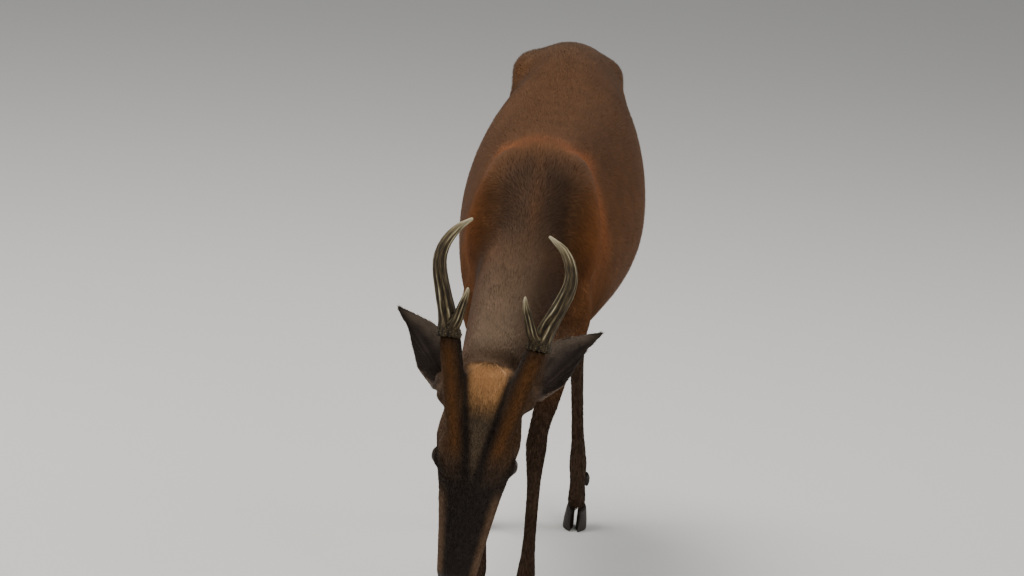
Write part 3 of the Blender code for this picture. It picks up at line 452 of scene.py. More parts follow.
MUZZLE_DARK = (0.014, 0.010, 0.008)
EYE_SURROUND = (0.018, 0.011, 0.007)
LEG_DARK = (0.028, 0.018, 0.012)
PALE_HAIR = (0.560, 0.470, 0.370)
EAR_BACK = (0.064, 0.036, 0.020)
EAR_SLATE = (0.028, 0.020, 0.015)
EAR_INSIDE = (0.062, 0.047, 0.040)
EAR_RIM_AND_HIGHLIGHT = (0.170, 0.128, 0.095)
NOSE_BLACK = (0.012, 0.010, 0.010)
NAPE_UP, THROAT_DOWN = np.array((0.0, -0.60, 0.80)), np.array((0.0, -0.20, -1.0))
PEDICLE_ROWS = ((-0.078, -0.024, 0.026), (0.018, 0.0300, 0.0415))
FLECK_SCALE, PAD_SCALE = 1100.0, 800.0


def coat_colour(points, normals):
    """Linear colour of the coat at each point of the skin. Here y and z are places along
    and up the body, and hx, hy and hz are places on the head, in its own axes."""
    b, h, turned = body_coords(points), head_coords(points), normals @ head_axes
    side, y, z = np.abs(b[:, 0]), b[:, 1], b[:, 2]
    hx, hy, hz = np.abs(h[:, 0]), h[:, 1], h[:, 2]
    up = normals[:, 2]
    colour = np.tile(CHESTNUT, (len(points), 1)).astype(float)

    def lay(paint, mask):
        nonlocal colour
        colour = colour * (1 - mask[:, None]) + np.array(paint)[None] * mask[:, None]

    trunk = soft_step(z, 0.24, 0.30) * soft_step(y, -0.17, -0.10)
    # The back is duller and greyer where it faces up: partly the coat's own darker back, partly painted cool
    # skylight.
    lay(DULL_BACK_AND_SKYLIGHT, 0.80 * trunk * soft_step(up, 0.10, 0.85) * soft_step(z, 0.38, 0.50))
    # Painted sheen: the top of the croup is greyed as if by cool skylight at a grazing angle.
    lay(PAINTED_CROUP_SHEEN, 0.60 * trunk * soft_step(up, 0.55, 0.95) * soft_step(y, 0.30, 0.40))
    # Rust on the outer shoulders and along the arc of the shoulder blades: partly the coat's own rust,
    # partly a painted sunlight highlight.
    shoulder = trunk * soft_step(-y, -0.060, 0.000) * soft_step(y, -0.125, -0.085)
    lay(RUST_AND_PAINTED_SUN, 0.50 * shoulder * soft_step(side, 0.040, 0.064) * soft_step(z, 0.34, 0.44))
    blade = 0.020 + 0.25 * np.maximum(0.50 - z, 0.0)
    blade += 0.028 * np.exp(-((z - 0.502) / 0.018) ** 2) * soft_step(side, 0.025, 0.050)
    arc = np.exp(-((y - blade) / 0.020) ** 2) * soft_step(z, 0.36, 0.44)
    lay(RUST_AND_PAINTED_SUN, 0.75 * trunk * arc * (0.40 + 0.60 * soft_step(side, 0.010, 0.045)))
    # Slate-brown withers, darkest in two bands beside the neck's mid: partly the withers' own slate-brown,
    # partly painted shade in the hollows there.
    slate_and_shade = np.exp(-((side - 0.022) / 0.017) ** 2) + 0.45 * soft_step(-side, -0.030, -0.010)
    slate_and_shade = np.minimum(slate_and_shade, 1.0) * soft_step(y, -0.150, -0.090)
    lay(SLATE_AND_PAINTED_SHADE, 0.78 * slate_and_shade * soft_step(-y, -0.004, 0.040) * soft_step(z, 0.40, 0.45))
    belly = trunk * soft_step(-up, 0.35, 0.90) * soft_step(-z, -0.36, -0.29)
    lay(PALE_HAIR, 0.70 * belly * soft_step(y, 0.00, 0.10))
    inward = -normals[:, 0] * np.sign(b[:, 0])
    lay(PALE_HAIR, 0.60 * soft_step(inward, 0.35, 0.85) * soft_step(y, 0.30, 0.36)
        * soft_step(z, 0.27, 0.33) * soft_step(-z, -0.42, -0.35))

    neck = soft_step(-y, 0.03, 0.10) * soft_step(hy, -0.010, 0.020)
    nape_up = normals @ NAPE_UP
    nape = neck * soft_step(nape_up, 0.00, 0.75)
    # Painted shade: the upper side of the neck is darkened towards the withers.
    lay(PAINTED_NAPE_SHADE, 0.80 * nape * soft_step(-y, 0.07, 0.13))
    # The nape is lighter and greyer near the head where it faces up: partly its own grey-brown hair, partly
    # a painted highlight.
    lay(NAPE_GREY_AND_HIGHLIGHT, 0.85 * neck * soft_step(nape_up, 0.35, 0.95) * soft_step(-y, 0.11, 0.19))
    # Painted shade: the neck's sides are darkened where they turn away from the light on the nape.
    lay(SLATE_AND_PAINTED_SHADE, 0.80 * neck * soft_step(-nape_up, -0.85, -0.25))
    lay(PALE_HAIR, 0.35 * neck * soft_step(normals @ THROAT_DOWN, 0.35, 0.9))
    buttock = soft_step(y, 0.47, 0.52) * soft_step(-side, -0.045, -0.015)
    lay(PALE_HAIR, 0.75 * buttock * soft_step(z, 0.33, 0.37) * soft_step(-z, -0.47, -0.43))
    fore = soft_step(-y, -0.20, -0.15)
    top = 0.30 - 0.02 * fore
    leg = soft_step(-z, -top - 0.05, -top + 0.05) * soft_step(-hz, 0.12, 0.16)
    lay(LEG_DARK, 0.90 * leg)
    tail = soft_step(y, 0.538, 0.546) * soft_step(-side, -0.040, -0.030)
    lay(CHESTNUT, tail)
    lay(RUST_AND_PAINTED_SUN, 0.40 * tail)
    lay(PALE_HAIR, 0.95 * tail * soft_step(-normals[:, 1], -0.10, 0.30))

    skull = soft_step(-hy, -0.050, 0.00) * soft_step(hz, -0.125, -0.105)
    skull = np.maximum(skull, soft_step(hz, -0.030, -0.020) * soft_step(-hy, -0.075, -0.020))
    face = skull * soft_step(hz, -0.050, -0.025)
    lay(CHEEK_BROWN, skull)
    lay(PEDICLE_OCHRE, face * soft_step(hy, -0.085, -0.055))
    line = np.interp(hy, *FRONTAL_ROWS)
    ridge = np.exp(-((hx - np.interp(hy, *PEDICLE_ROWS)) / 0.0065) ** 2)
    lay(PEDICLE_STREAK, 0.80 * face * ridge * soft_step(turned[:, 2], 0.10, 0.80)
        * soft_step(hy, -0.085, -0.060) * soft_step(-hy, -0.0365, -0.0220))
    between = soft_step(line - hx, -0.001, 0.006) * face
    lay(FOREHEAD_GREY, between * soft_step(-hy, 0.005, 0.045))
    crown_ends = soft_step(hy, -0.042, 0.008) * soft_step(-hy, -0.021, -0.005)
    lay(CROWN_OCHRE, between * crown_ends)
    cap = skull * soft_step(-hx, -0.026, -0.016) * soft_step(hz, -0.038, -0.016)
    lay(CROWN_OCHRE, cap * crown_ends)
    muzzle = soft_step(-hy, 0.070, 0.110)
    lay(MUZZLE_DARK, 0.96 * skull * muzzle * soft_step(hz, -0.064, -0.050))
    band = soft_step(np.abs(turned[:, 0]), 0.45, 0.80) * soft_step(-hy, 0.098, 0.120)
    lay(CHEEK_BAND, 0.80 * skull * band * soft_step(hy, -0.198, -0.186) * soft_step(hz, -0.062, -0.050))
    groove = np.exp(-((hx - line) / np.where(hx > line, 0.0072, 0.0046)) ** 2)
    groove *= soft_step(hy, -0.108, -0.092)
    lay(FRONTAL_DARK, 0.95 * groove * soft_step(-hy, -0.050, -0.030) * soft_step(hz, -0.022, -0.010))
    chin = np.maximum(soft_step(-hz, 0.053, 0.061) * soft_step(-hy, 0.02, 0.05),
                      soft_step(-hz, 0.080, 0.092))
    lay(PALE_HAIR, 0.80 * skull * chin * soft_step(-hx, -0.030, -0.018))
    eye_gap = np.sqrt((hx - EYE.x) ** 2 * 0.3 + (hy - EYE.y + 0.004) ** 2 + (hz - EYE.z) ** 2)
    lay(EYE_SURROUND, 0.9 * skull * soft_step(-eye_gap, -0.0190, -0.0120))
    slit = np.exp(-((hz + 0.030 - 0.143 * (hy + 0.092)) / 0.0017) ** 2)
    slit *= soft_step(hx, 0.019, 0.025) * soft_step(-hy, 0.088, 0.092) * soft_step(hy, -0.117, -0.111)
    lay(FRONTAL_DARK, 0.95 * skull * slit)

    ear = ear_share(h)
    lay(EAR_BACK, ear)
    lay(EAR_SLATE, ear * soft_step(hx, 0.055, 0.080))
    fan = np.arctan2(hy + 0.012, hx - 0.036)
    ribs = 0.70 + 0.45 * np.sin(fan * 34.0 + 3.0 * np.sin(fan * 9.0)) ** 2
    inside = ear * soft_step(turned[:, 2] + 0.2 * np.sign(h[:, 0]) * turned[:, 0], 0.0, 0.5)
    lay(EAR_INSIDE, 0.85 * inside * soft_step(-hx, -0.098, -0.070))
    colour = colour * (1 + (ribs - 1) * inside)[:, None]
    # Pale lower rims of the ears, facing towards the nose: partly pale rim hair, partly a painted highlight
    # on the lit edge.
    lay(EAR_RIM_AND_HIGHLIGHT, 0.75 * ear * soft_step(-turned[:, 1], 0.20, 0.75) * soft_step(-hx, -0.104, -0.085))
    return np.clip(colour, 0.0, 1.0)


def add_colour(mesh, colours):
    layer = mesh.color_attributes.new("coat_colour", "FLOAT_COLOR", "POINT")
    rows = np.ones((len(colours), 4), dtype=np.float32)
    rows[:, :3] = colours
    layer.data.foreach_set("color", rows.ravel())


def add_value(mesh, name, values):
    layer = mesh.attributes.new(name, "FLOAT", "POINT")
    layer.data.foreach_set("value", values.astype(np.float32))


def add_vector(mesh, name, rows):
    layer = mesh.attributes.new(name, "FLOAT_VECTOR", "POINT")
    layer.data.foreach_set("vector", rows.astype(np.float32).ravel())


def shader_of(name):
    mat = bpy.data.materials.new(name)
    mat.use_nodes = True
    return mat, mat.node_tree.nodes, mat.node_tree.links, mat.node_tree.nodes["Principled BSDF"]


def node(nodes, kind, **values):
    made = nodes.new(kind)
    for key, value in values.items():
        if key in made.inputs:
            made.inputs[key].default_value = value
        else:
            setattr(made, key, value)
    return made


def ranged(nodes, links, source, low, high):
    """A map range that spreads 0 to 1 over low to high."""
    made = node(nodes, "ShaderNodeMapRange")
    made.inputs["To Min"].default_value = low
    made.inputs["To Max"].default_value = high
    links.new(source, made.inputs["Value"])
    return made.outputs["Result"]


def on_place(nodes, links, pattern):
    """Lay a pattern on the piece's own coordinates."""
    links.new(node(nodes, "ShaderNodeTexCoord").outputs["Object"], pattern.inputs["Vector"])
    return pattern


def ramp_of(nodes, links, source, stops):
    """Colours spread along a value, from rows of place and colour."""
    ramp = node(nodes, "ShaderNodeValToRGB")
    while len(ramp.color_ramp.elements) < len(stops):
        ramp.color_ramp.elements.new(0.5)
    for element, (spot, colour) in zip(ramp.color_ramp.elements, stops):
        element.position = spot
        element.color = (*colour, 1.0)
    links.new(source, ramp.inputs["Fac"])
    return ramp.outputs["Color"]


def raise_relief(nodes, links, shader, height, strength, distance):
    bump = node(nodes, "ShaderNodeBump", Strength=strength, Distance=distance)
    links.new(height, bump.inputs["Height"])
    links.new(bump.outputs["Normal"], shader.inputs["Normal"])


def times(nodes, links, colour, factor):
    tint = node(nodes, "ShaderNodeMix", data_type="RGBA", blend_type="MULTIPLY")
    tint.inputs[0].default_value = 1.0
    links.new(colour, tint.inputs[6])
    links.new(factor, tint.inputs[7])
    return tint.outputs[2]


def hide_material():
    """Skin under the hair, in the coat's own markings, and the moist leathery nose pad."""
    mat, nodes, links, shader = shader_of("hide")
    marks = node(nodes, "ShaderNodeAttribute", attribute_name="coat_colour")
    fleck = on_place(nodes, links, node(nodes, "ShaderNodeTexNoise", Scale=FLECK_SCALE, Detail=4.0))
    mottle = ranged(nodes, links, fleck.outputs["Fac"], 0.72, 1.20)
    tint = times(nodes, links, marks.outputs["Color"], mottle)
    pad_mask = node(nodes, "ShaderNodeAttribute", attribute_name="bare")
    nose = node(nodes, "ShaderNodeMix", data_type="RGBA")
    nose.inputs[7].default_value = (*NOSE_BLACK, 1.0)
    links.new(pad_mask.outputs["Fac"], nose.inputs[0])
    links.new(tint, nose.inputs[6])
    links.new(nose.outputs[2], shader.inputs["Base Color"])
    links.new(ranged(nodes, links, pad_mask.outputs["Fac"], 0.78, 0.30), shader.inputs["Roughness"])
    cells = on_place(nodes, links, node(nodes, "ShaderNodeTexVoronoi", Scale=PAD_SCALE))
    relief = node(nodes, "ShaderNodeMix", data_type="FLOAT")
    links.new(pad_mask.outputs["Fac"], relief.inputs[0])
    links.new(fleck.outputs["Fac"], relief.inputs[2])
    links.new(cells.outputs["Distance"], relief.inputs[3])
    raise_relief(nodes, links, shader, relief.outputs[0], 0.5, 0.0008)
    shader.inputs["Specular IOR Level"].default_value = 0.15
    return mat


points, normals = mesh_points(skin.data), mesh_normals(skin.data)
add_colour(skin.data, coat_colour(points, normals))
h = head_coords(points)
add_value(skin.data, "bare", soft_step(-h[:, 1], HEAD_LENGTH - 0.016, HEAD_LENGTH - 0.010)
          * soft_step(h[:, 2], -0.050, -0.046))
skin.data.materials.append(hide_material())
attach(skin, "root")
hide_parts(*FLESH)

# The coat: short sleek hair that lies along the body, made as thin tapered tufts, each
# rooted in the skin and rising to the outline. The tail has long, bent tufts. Roots are a
# little darker than tips, and no two tufts have quite the same shade.
COAT_PIECES = {
    "coat_head": (["head"], 0, 42000), "coat_ears": (["ear_left", "ear_right"], 0, 14000),
    "coat_neck": (["neck"], 0, 34000), "coat_tail": (["tail"], 0, 4200),
    "coat_chest_left": (["chest"], 1, 38000), "coat_chest_right": (["chest"], -1, 38000),
    "coat_belly_left": (["belly"], 1, 42000), "coat_belly_right": (["belly"], -1, 42000),
    "coat_rump_left": (["rump"], 1, 38000), "coat_rump_right": (["rump"], -1, 38000),
    "coat_forelegs": ([name for name in FLESH if name.startswith("fore")], 0, 15000),
    "coat_hindlegs": ([name for name in FLESH if name.startswith("hind")], 0, 22000)}
MAP_SHARE, MAP_MARGIN = 0.035, 0.004
PATCH = 0.003
ROOT_DEPTH, ROOT_RIDGE = 0.0004, 0.55
BEND_AT, BEND_RISE = 0.38, 0.62
SWAY, TONE_SPREAD = 0.13, 0.10
CLOUD_SCALE = 45.0


def coat_map():
    """An unwrap of the skin's own shape, on a light copy of it."""
    bpy.ops.object.select_all(action="DESELECT")
    light = skin.copy()
    light.data = skin.data.copy()
    light.name = "light_skin"
    bpy.context.scene.collection.objects.link(light)
    light.select_set(True)
    apply_modifier(light, "DECIMATE", ratio=MAP_SHARE)
    bpy.ops.object.mode_set(mode="EDIT")
    bpy.ops.mesh.select_all(action="SELECT")
    bpy.ops.uv.smart_project(angle_limit=math.radians(66), island_margin=MAP_MARGIN)
    bpy.ops.object.mode_set(mode="OBJECT")
    return light


def map_places(light, places):
    """Where each root lies on the unwrap."""
    mesh = light.data
    uv = np.empty(len(mesh.loops) * 2)
    mesh.uv_layers.active.data.foreach_get("uv", uv)
    uv = uv.reshape(-1, 2)
    verts = [v.co.copy() for v in mesh.vertices]
    tree = BVHTree.FromPolygons(verts, [tuple(p.vertices) for p in mesh.polygons])
    out = np.empty((len(places), 2))
    for i, place in enumerate(places):
        spot, _, face, _ = tree.find_nearest(Vector(place))
        poly = mesh.polygons[face]
        corners = [verts[v] for v in poly.vertices][:3]
        area = (corners[1] - corners[0]).cross(corners[2] - corners[0])
        whole = max(area.length_squared, 1e-18)
        a = (corners[2] - corners[1]).cross(spot - corners[1]).dot(area) / whole
        b = (corners[0] - corners[2]).cross(spot - corners[2]).dot(area) / whole
        start = poly.loop_start
        out[i] = a * uv[start] + b * uv[start + 1] + (1 - a - b) * uv[start + 2]
    return np.clip(out, PATCH, 1 - PATCH)


def nearest_parts(places):
    """Index in FLESH of the solid that each place belongs to."""
    rows = [(poly.center.copy(), index) for index, name in enumerate(FLESH)
            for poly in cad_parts[name].data.polygons]
    tree = KDTree(len(rows))
    for i, (centre, _) in enumerate(rows):
        tree.insert(centre, i)
    tree.balance()
    return np.array([rows[tree.find(Vector(p))[1]][1] for p in places])


def bald(places):
    """Where no hair grows: on the nose pad, in the mouth's groove and in the lids' opening."""
    h = head_coords(places)
    none = (h[:, 1] < -(HEAD_LENGTH - 0.0125)) & (h[:, 2] > -0.048)
    lip_gap = np.abs(h[:, 2] - np.interp(h[:, 1], *MOUTH_ROWS))
    none |= (lip_gap < 0.0008) & (h[:, 1] < -0.136)
    for sign in SIDES.values():
        rel = h - eye_at(sign)
        dist = np.maximum(np.linalg.norm(rel, axis=1), 1e-9)
        span, rise = on_eyeball(rel, dist)
        none |= ((dist < EYE_RADIUS + 0.004) & (rel[:, 0] * sign > 0)
                 & ((span / (LID_SPAN + 0.0005)) ** 2 + (rise / (LID_RISE + 0.0005)) ** 2 < 1.0))
    return none


def mesh_from(name, verts, loops, sides):
    mesh = bpy.data.meshes.new(name)
    mesh.vertices.add(len(verts))
    mesh.vertices.foreach_set("co", verts.astype(np.float32).ravel())
    mesh.loops.add(len(loops))
    mesh.loops.foreach_set("vertex_index", loops.astype(np.int32))
    mesh.polygons.add(len(sides))
    mesh.polygons.foreach_set("loop_start", (np.cumsum(sides) - sides).astype(np.int32))
    mesh.update(calc_edges=True)
    mesh.polygons.foreach_set("use_smooth", np.ones(len(sides), dtype=bool))
    return mesh


skin.data.calc_loop_triangles()
corners = np.empty(len(skin.data.loop_triangles) * 3, dtype=np.int64)
skin.data.loop_triangles.foreach_get("vertices", corners)
corners = corners.reshape(-1, 3)
tri_points = points[corners]
tri_areas = np.linalg.norm(np.cross(tri_points[:, 1] - tri_points[:, 0],
                                    tri_points[:, 2] - tri_points[:, 0]), axis=1) / 2
tri_middles = tri_points.mean(axis=1)
tri_part = nearest_parts(tri_middles)
tri_side = np.sign(body_coords(tri_middles)[:, 0])
light_skin = coat_map()


def rooted(parts, half, count, rng):
    """Roots spread over some parts of the skin, with the skin's normals there."""
    wanted = np.isin(tri_part, [FLESH.index(p) for p in parts]) & (tri_side * half >= 0)
    chance = tri_areas * wanted
    picks = rng.choice(len(chance), size=count, p=chance / chance.sum())
    u, v = rng.random(count), rng.random(count)
    flip = u + v > 1
    u[flip], v[flip] = 1 - u[flip], 1 - v[flip]
    mix = np.stack([1 - u - v, u, v], axis=1)[:, :, None]
    roots = (tri_points[picks] * mix).sum(axis=1)
    ups = (normals[corners[picks]] * mix).sum(axis=1)
    ups /= np.linalg.norm(ups, axis=1, keepdims=True)
    hairy = ~bald(roots)
    return roots[hairy], ups[hairy]


def short_tufts(roots, ups, runs, across, length, width, depth):
    """Four-sided slivers: a root triangle across the hair's way, and a tip."""
    base = roots - ups * ROOT_DEPTH
    rows = [base - across * width, base + across * width,
            roots + ups * np.minimum(width * ROOT_RIDGE, depth + 0.0002),
            roots + runs * length + ups * depth]
    faces = np.array([[0, 1, 3], [0, 3, 2], [1, 2, 3], [0, 2, 1]])
    spots = np.array([[-0.5, -0.5], [0.5, -0.5], [0.0, -0.4], [0.0, 0.5]])
    return rows, [faces], spots, np.array([0.84, 0.84, 0.95, 1.10])


def long_tufts(roots, ups, runs, across, length, width, depth):
    """Three-sided bent locks for the tail: root, bend and tip."""
    bend = roots + runs * length * BEND_AT + ups * depth * BEND_RISE
    rows = []
    for centre, part in ((roots - ups * ROOT_DEPTH, 1.0), (bend, 0.85)):
        rows += [centre - across * width * part, centre + across * width * part,
                 centre + ups * width * 0.7 * part]
    rows.append(roots + runs * length + ups * depth * 0.92)
    quads = np.array([[0, 1, 4, 3], [1, 2, 5, 4], [2, 0, 3, 5]])
    tips = np.array([[3, 4, 6], [4, 5, 6], [5, 3, 6], [0, 2, 1]])
    spots = np.array([[-0.5, -0.5], [0.5, -0.5], [0, -0.5], [-0.4, 0.1], [0.4, 0.1], [0, 0.1], [0, 0.5]])
    return rows, [quads, tips], spots, np.array([0.65, 0.65, 0.65, 0.95, 0.95, 0.95, 1.2])


def coat_piece(name, parts, half, count, seed):
    rng = np.random.default_rng(seed)
    roots, ups = rooted(parts, half, count, rng)
    count = len(roots)
    runs, sizes = coat_lie(roots, ups)
    across = np.cross(ups, runs)
    sway = rng.normal(0.0, SWAY, count)[:, None]
    runs = runs * np.cos(sway) + across * np.sin(sway)
    across = np.cross(ups, runs)
    length = (sizes[:, 0] * rng.uniform(0.75, 1.25, count))[:, None]
    width = (sizes[:, 1] * rng.uniform(0.8, 1.2, count))[:, None] * 0.5
    depth = sizes[:, 2:3] * rng.uniform(0.55, 1.05, count)[:, None]
    kind = long_tufts if "tail" in parts else short_tufts
    rows, face_sets, spots, shades = kind(roots, ups, runs, across, length, width, depth)
    corner_count = len(rows)
    base = (np.arange(count) * corner_count)[:, None, None]
    loops = np.concatenate([(faces[None] + base).reshape(count, -1) for faces in face_sets], axis=1).ravel()
    sides = np.tile(np.concatenate([np.full(len(f), f.shape[1]) for f in face_sets]), count)
    mesh = mesh_from(name, np.stack(rows, axis=1).reshape(-1, 3), loops, sides)
    tone = rng.normal(1.0, TONE_SPREAD, count).clip(0.7, 1.3)[:, None]
    base_colour = coat_colour(roots, ups) * tone
    add_colour(mesh, (base_colour[:, None, :] * shades[None, :, None]).reshape(-1, 3).clip(0, 1))
    uv = (map_places(light_skin, roots)[:, None, :] + spots[None] * PATCH).reshape(-1, 2)[loops]
    layer = mesh.uv_layers.new(name="OFBake")
    layer.data.foreach_set("uv", uv.astype(np.float32).ravel())
    obj = bpy.data.objects.new(name, mesh)
    bpy.context.scene.collection.objects.link(obj)
    return obj


def hair_material():
    """Sleek hair: the markings, clouded a little over the body, with a dull shine."""
    mat, nodes, links, shader = shader_of("hair")
    marks = node(nodes, "ShaderNodeAttribute", attribute_name="coat_colour")
    drift = on_place(nodes, links, node(nodes, "ShaderNodeTexNoise", Scale=CLOUD_SCALE, Detail=4.0))
    cloud = ranged(nodes, links, drift.outputs["Fac"], 0.68, 1.32)
    links.new(times(nodes, links, marks.outputs["Color"], cloud), shader.inputs["Base Color"])
    shader.inputs["Roughness"].default_value = 0.62
    shader.inputs["Specular IOR Level"].default_value = 0.14
    return mat


hair = hair_material()
for seed, (name, (parts, half, count)) in enumerate(COAT_PIECES.items()):
    piece = coat_piece(name, parts, half, count, seed + 11)
    piece.data.materials.append(hair)
    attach(piece, "root")
bpy.data.objects.remove(light_skin, do_unlink=True)

# The eyes: large wet balls set deep between the lids, with a swelling cornea, a brown iris
# and the slot of a pupil, which the stag keeps near level as its head goes down.
PUPIL_SPAN, PUPIL_RISE = 0.0044, 0.0021
PUPIL_TURN = math.radians(58.0)
IRIS_EDGE = 0.0078
CORNEA_SWELL = 0.0007
IRIS_SCALE = 1300.0
IRIS_BROWNS = ((0.0, (0.006, 0.003, 0.002)), (1.0, (0.036, 0.015, 0.007)))
PUPIL_BLACK = (0.002, 0.002, 0.002)
BALL_DARK = (0.008, 0.006, 0.005)


def eye_material():
    mat, nodes, links, shader = shader_of("eyeball")
    look = node(nodes, "ShaderNodeAttribute", attribute_name="look")
    parts = node(nodes, "ShaderNodeSeparateXYZ")
    links.new(look.outputs["Vector"], parts.inputs["Vector"])
    rays = on_place(nodes, links, node(nodes, "ShaderNodeTexNoise", Scale=IRIS_SCALE, Detail=3.0))
    colour = ramp_of(nodes, links, rays.outputs["Fac"], IRIS_BROWNS)
    for channel, dark in (("X", PUPIL_BLACK), ("Y", BALL_DARK)):
        mix = node(nodes, "ShaderNodeMix", data_type="RGBA")
        edge = node(nodes, "ShaderNodeMapRange", interpolation_type="SMOOTHSTEP")
        edge.inputs["From Min"].default_value = 0.85
        edge.inputs["From Max"].default_value = 1.10
        links.new(parts.outputs[channel], edge.inputs["Value"])
        links.new(edge.outputs["Result"], mix.inputs[0])
        links.new(colour, mix.inputs[6])
        mix.inputs[7].default_value = (*dark, 1.0)
        colour = mix.outputs[2]
    links.new(colour, shader.inputs["Base Color"])
    shader.inputs["Roughness"].default_value = 0.10
    shader.inputs["Specular IOR Level"].default_value = 0.09
    shader.inputs["Coat Weight"].default_value = 0.06
    shader.inputs["Coat Roughness"].default_value = 0.02
    return mat


eyeball_finish = eye_material()
for side, sign in SIDES.items():
    bpy.ops.object.select_all(action="DESELECT")
    bpy.ops.mesh.primitive_uv_sphere_add(segments=64, ring_count=40, radius=EYE_RADIUS,
                                         location=middle_of("eye_" + side), rotation=(0.0, math.pi / 2, 0.0))
    ball = bpy.context.object
    ball.name = "eyeball_" + side
    bpy.ops.object.transform_apply(location=True, rotation=True, scale=True)
    bpy.ops.object.shade_smooth()
    rel = head_coords(mesh_points(ball.data)) - eye_at(sign)
    reach = np.hypot(rel[:, 1], rel[:, 2])
    front = soft_step(rel[:, 0] * sign, 0.0, 0.004)
    swell = CORNEA_SWELL * front * soft_step(-reach, -IRIS_EDGE, -IRIS_EDGE * 0.5)
    level = (rel[:, 2] * math.sin(PUPIL_TURN) - rel[:, 1] * math.cos(PUPIL_TURN)) / PUPIL_SPAN
    steep = (rel[:, 2] * math.cos(PUPIL_TURN) + rel[:, 1] * math.sin(PUPIL_TURN)) / PUPIL_RISE
    pupil = 2.0 - np.hypot(level, steep)
    add_vector(ball.data, "look", np.stack([pupil * front, reach / IRIS_EDGE + 1.0 - front, reach], axis=1))
    rel *= (1.0 + swell / EYE_RADIUS)[:, None]
    set_points(ball.data, from_head(rel + eye_at(sign)))
    ball.data.materials.append(eyeball_finish)
    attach(ball, "root")
    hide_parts("eye_" + side)

# The lid rims: bare black edges of the eyelids, a thin almond ring that lies on each
# eyeball where the skin's opening ends.
RIM_ROUND, RIM_SPOTS = 10, 56
RIM_OUT, RIM_WIDE = 0.0008, 0.0015
RIM_SCALE = 1500.0
RIM_BLACKS = ((0.0, (0.005, 0.004, 0.003)), (1.0, (0.016, 0.010, 0.008)))


def lid_spot(sign, angle):
    """A point of the lid's edge on the eyeball, in the head's axes from the eye's middle."""
    span = LID_SPAN * math.cos(angle)
    rise = LID_RISE * math.copysign(abs(math.sin(angle)) ** 1.15, math.sin(angle)) - LID_DROP
    out = math.sqrt(max(EYE_RADIUS ** 2 - span ** 2 - rise ** 2, 0.0))
    return Vector((sign * out, span, rise))


def lid_material():
    mat, nodes, links, shader = shader_of("lid_rim")
    grain = on_place(nodes, links, node(nodes, "ShaderNodeTexNoise", Scale=RIM_SCALE))
    links.new(ramp_of(nodes, links, grain.outputs["Fac"], RIM_BLACKS), shader.inputs["Base Color"])
    shader.inputs["Roughness"].default_value = 0.55
    shader.inputs["Specular IOR Level"].default_value = 0.15
    return mat


lid_finish = lid_material()
for side, sign in SIDES.items():
    bpy.ops.object.select_all(action="DESELECT")
    bpy.ops.mesh.primitive_torus_add(major_segments=RIM_SPOTS, minor_segments=RIM_ROUND,
                                     major_radius=EYE_RADIUS, minor_radius=RIM_OUT)
    rim = bpy.context.object
    rim.name = "lid_rim_" + side
    eye_middle = Vector(eye_at(sign))
    for vert in rim.data.vertices:
        angle = math.atan2(vert.co.y, vert.co.x)
        spot = lid_spot(sign, angle)
        along = (lid_spot(sign, angle + 0.05) - lid_spot(sign, angle - 0.05)).normalized()
        away = spot.normalized()
        outer = (vert.co.xy.length - EYE_RADIUS) / RIM_OUT
        place = spot + away * vert.co.z + away.cross(along) * (outer * RIM_WIDE * -sign)
        vert.co = on_head(*(eye_middle + place))
    bpy.ops.object.mode_set(mode="EDIT")
    bpy.ops.mesh.select_all(action="SELECT")
    bpy.ops.mesh.normals_make_consistent(inside=False)
    bpy.ops.object.mode_set(mode="OBJECT")
    bpy.ops.object.shade_smooth()
    rim.data.materials.append(lid_finish)
    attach(rim, "root")

# The antlers: bone, a hooked beam with a short brow tine above a knobbly burr on each side.
# Each is one body over its beam and tine, fluted along its length and worn pale at the tips.
BURR_HEIGHT = 0.0385
BURR_SPREAD = 0.044
ANTLER_RISE = {"left": 0.1145, "right": 0.1200}
ANTLER_TIP_IN = {"left": 0.0070, "right": 0.0035}
TINE_LEAN = {"left": -0.0045, "right": 0.0040}
ANTLER_SWELL = 0.0003
ANTLER_VOXEL = 0.00065
ANTLER_PASSES = 8
FLUTES = 9
FLUTE_DEPTH = 0.00050
PEARL_DEPTH = 0.00090
BONE_GRAIN = 900.0
BONE_TONES = ((0.14, (0.010, 0.007, 0.004)), (0.34, (0.044, 0.030, 0.014)),
              (0.58, (0.130, 0.100, 0.052)), (0.88, (0.440, 0.390, 0.255)))


def smooth_route(rows, count=60):
    """Even places on a smooth curve through the rows, on the head, and the run up to each."""
    keys = np.array([np.array(on_head(*row)) for row in rows])
    padded = np.vstack([2 * keys[0] - keys[1], keys, 2 * keys[-1] - keys[-2]])
    dense = []
    for a, b, c, d in zip(padded[:-3], padded[1:-2], padded[2:-1], padded[3:]):
        for t in np.linspace(0.0, 1.0, 16, endpoint=False):
            dense.append(0.5 * (2 * b + (c - a) * t + (2 * a - 5 * b + 4 * c - d) * t ** 2
                                + (3 * b - a - 3 * c + d) * t ** 3))
    dense = np.array(dense + [keys[-1]])
    run = np.concatenate([[0.0], np.cumsum(np.linalg.norm(np.diff(dense, axis=0), axis=1))])
    even = np.linspace(0.0, run[-1], count)
    return np.stack([np.interp(even, run, dense[:, k]) for k in range(3)], axis=1), even


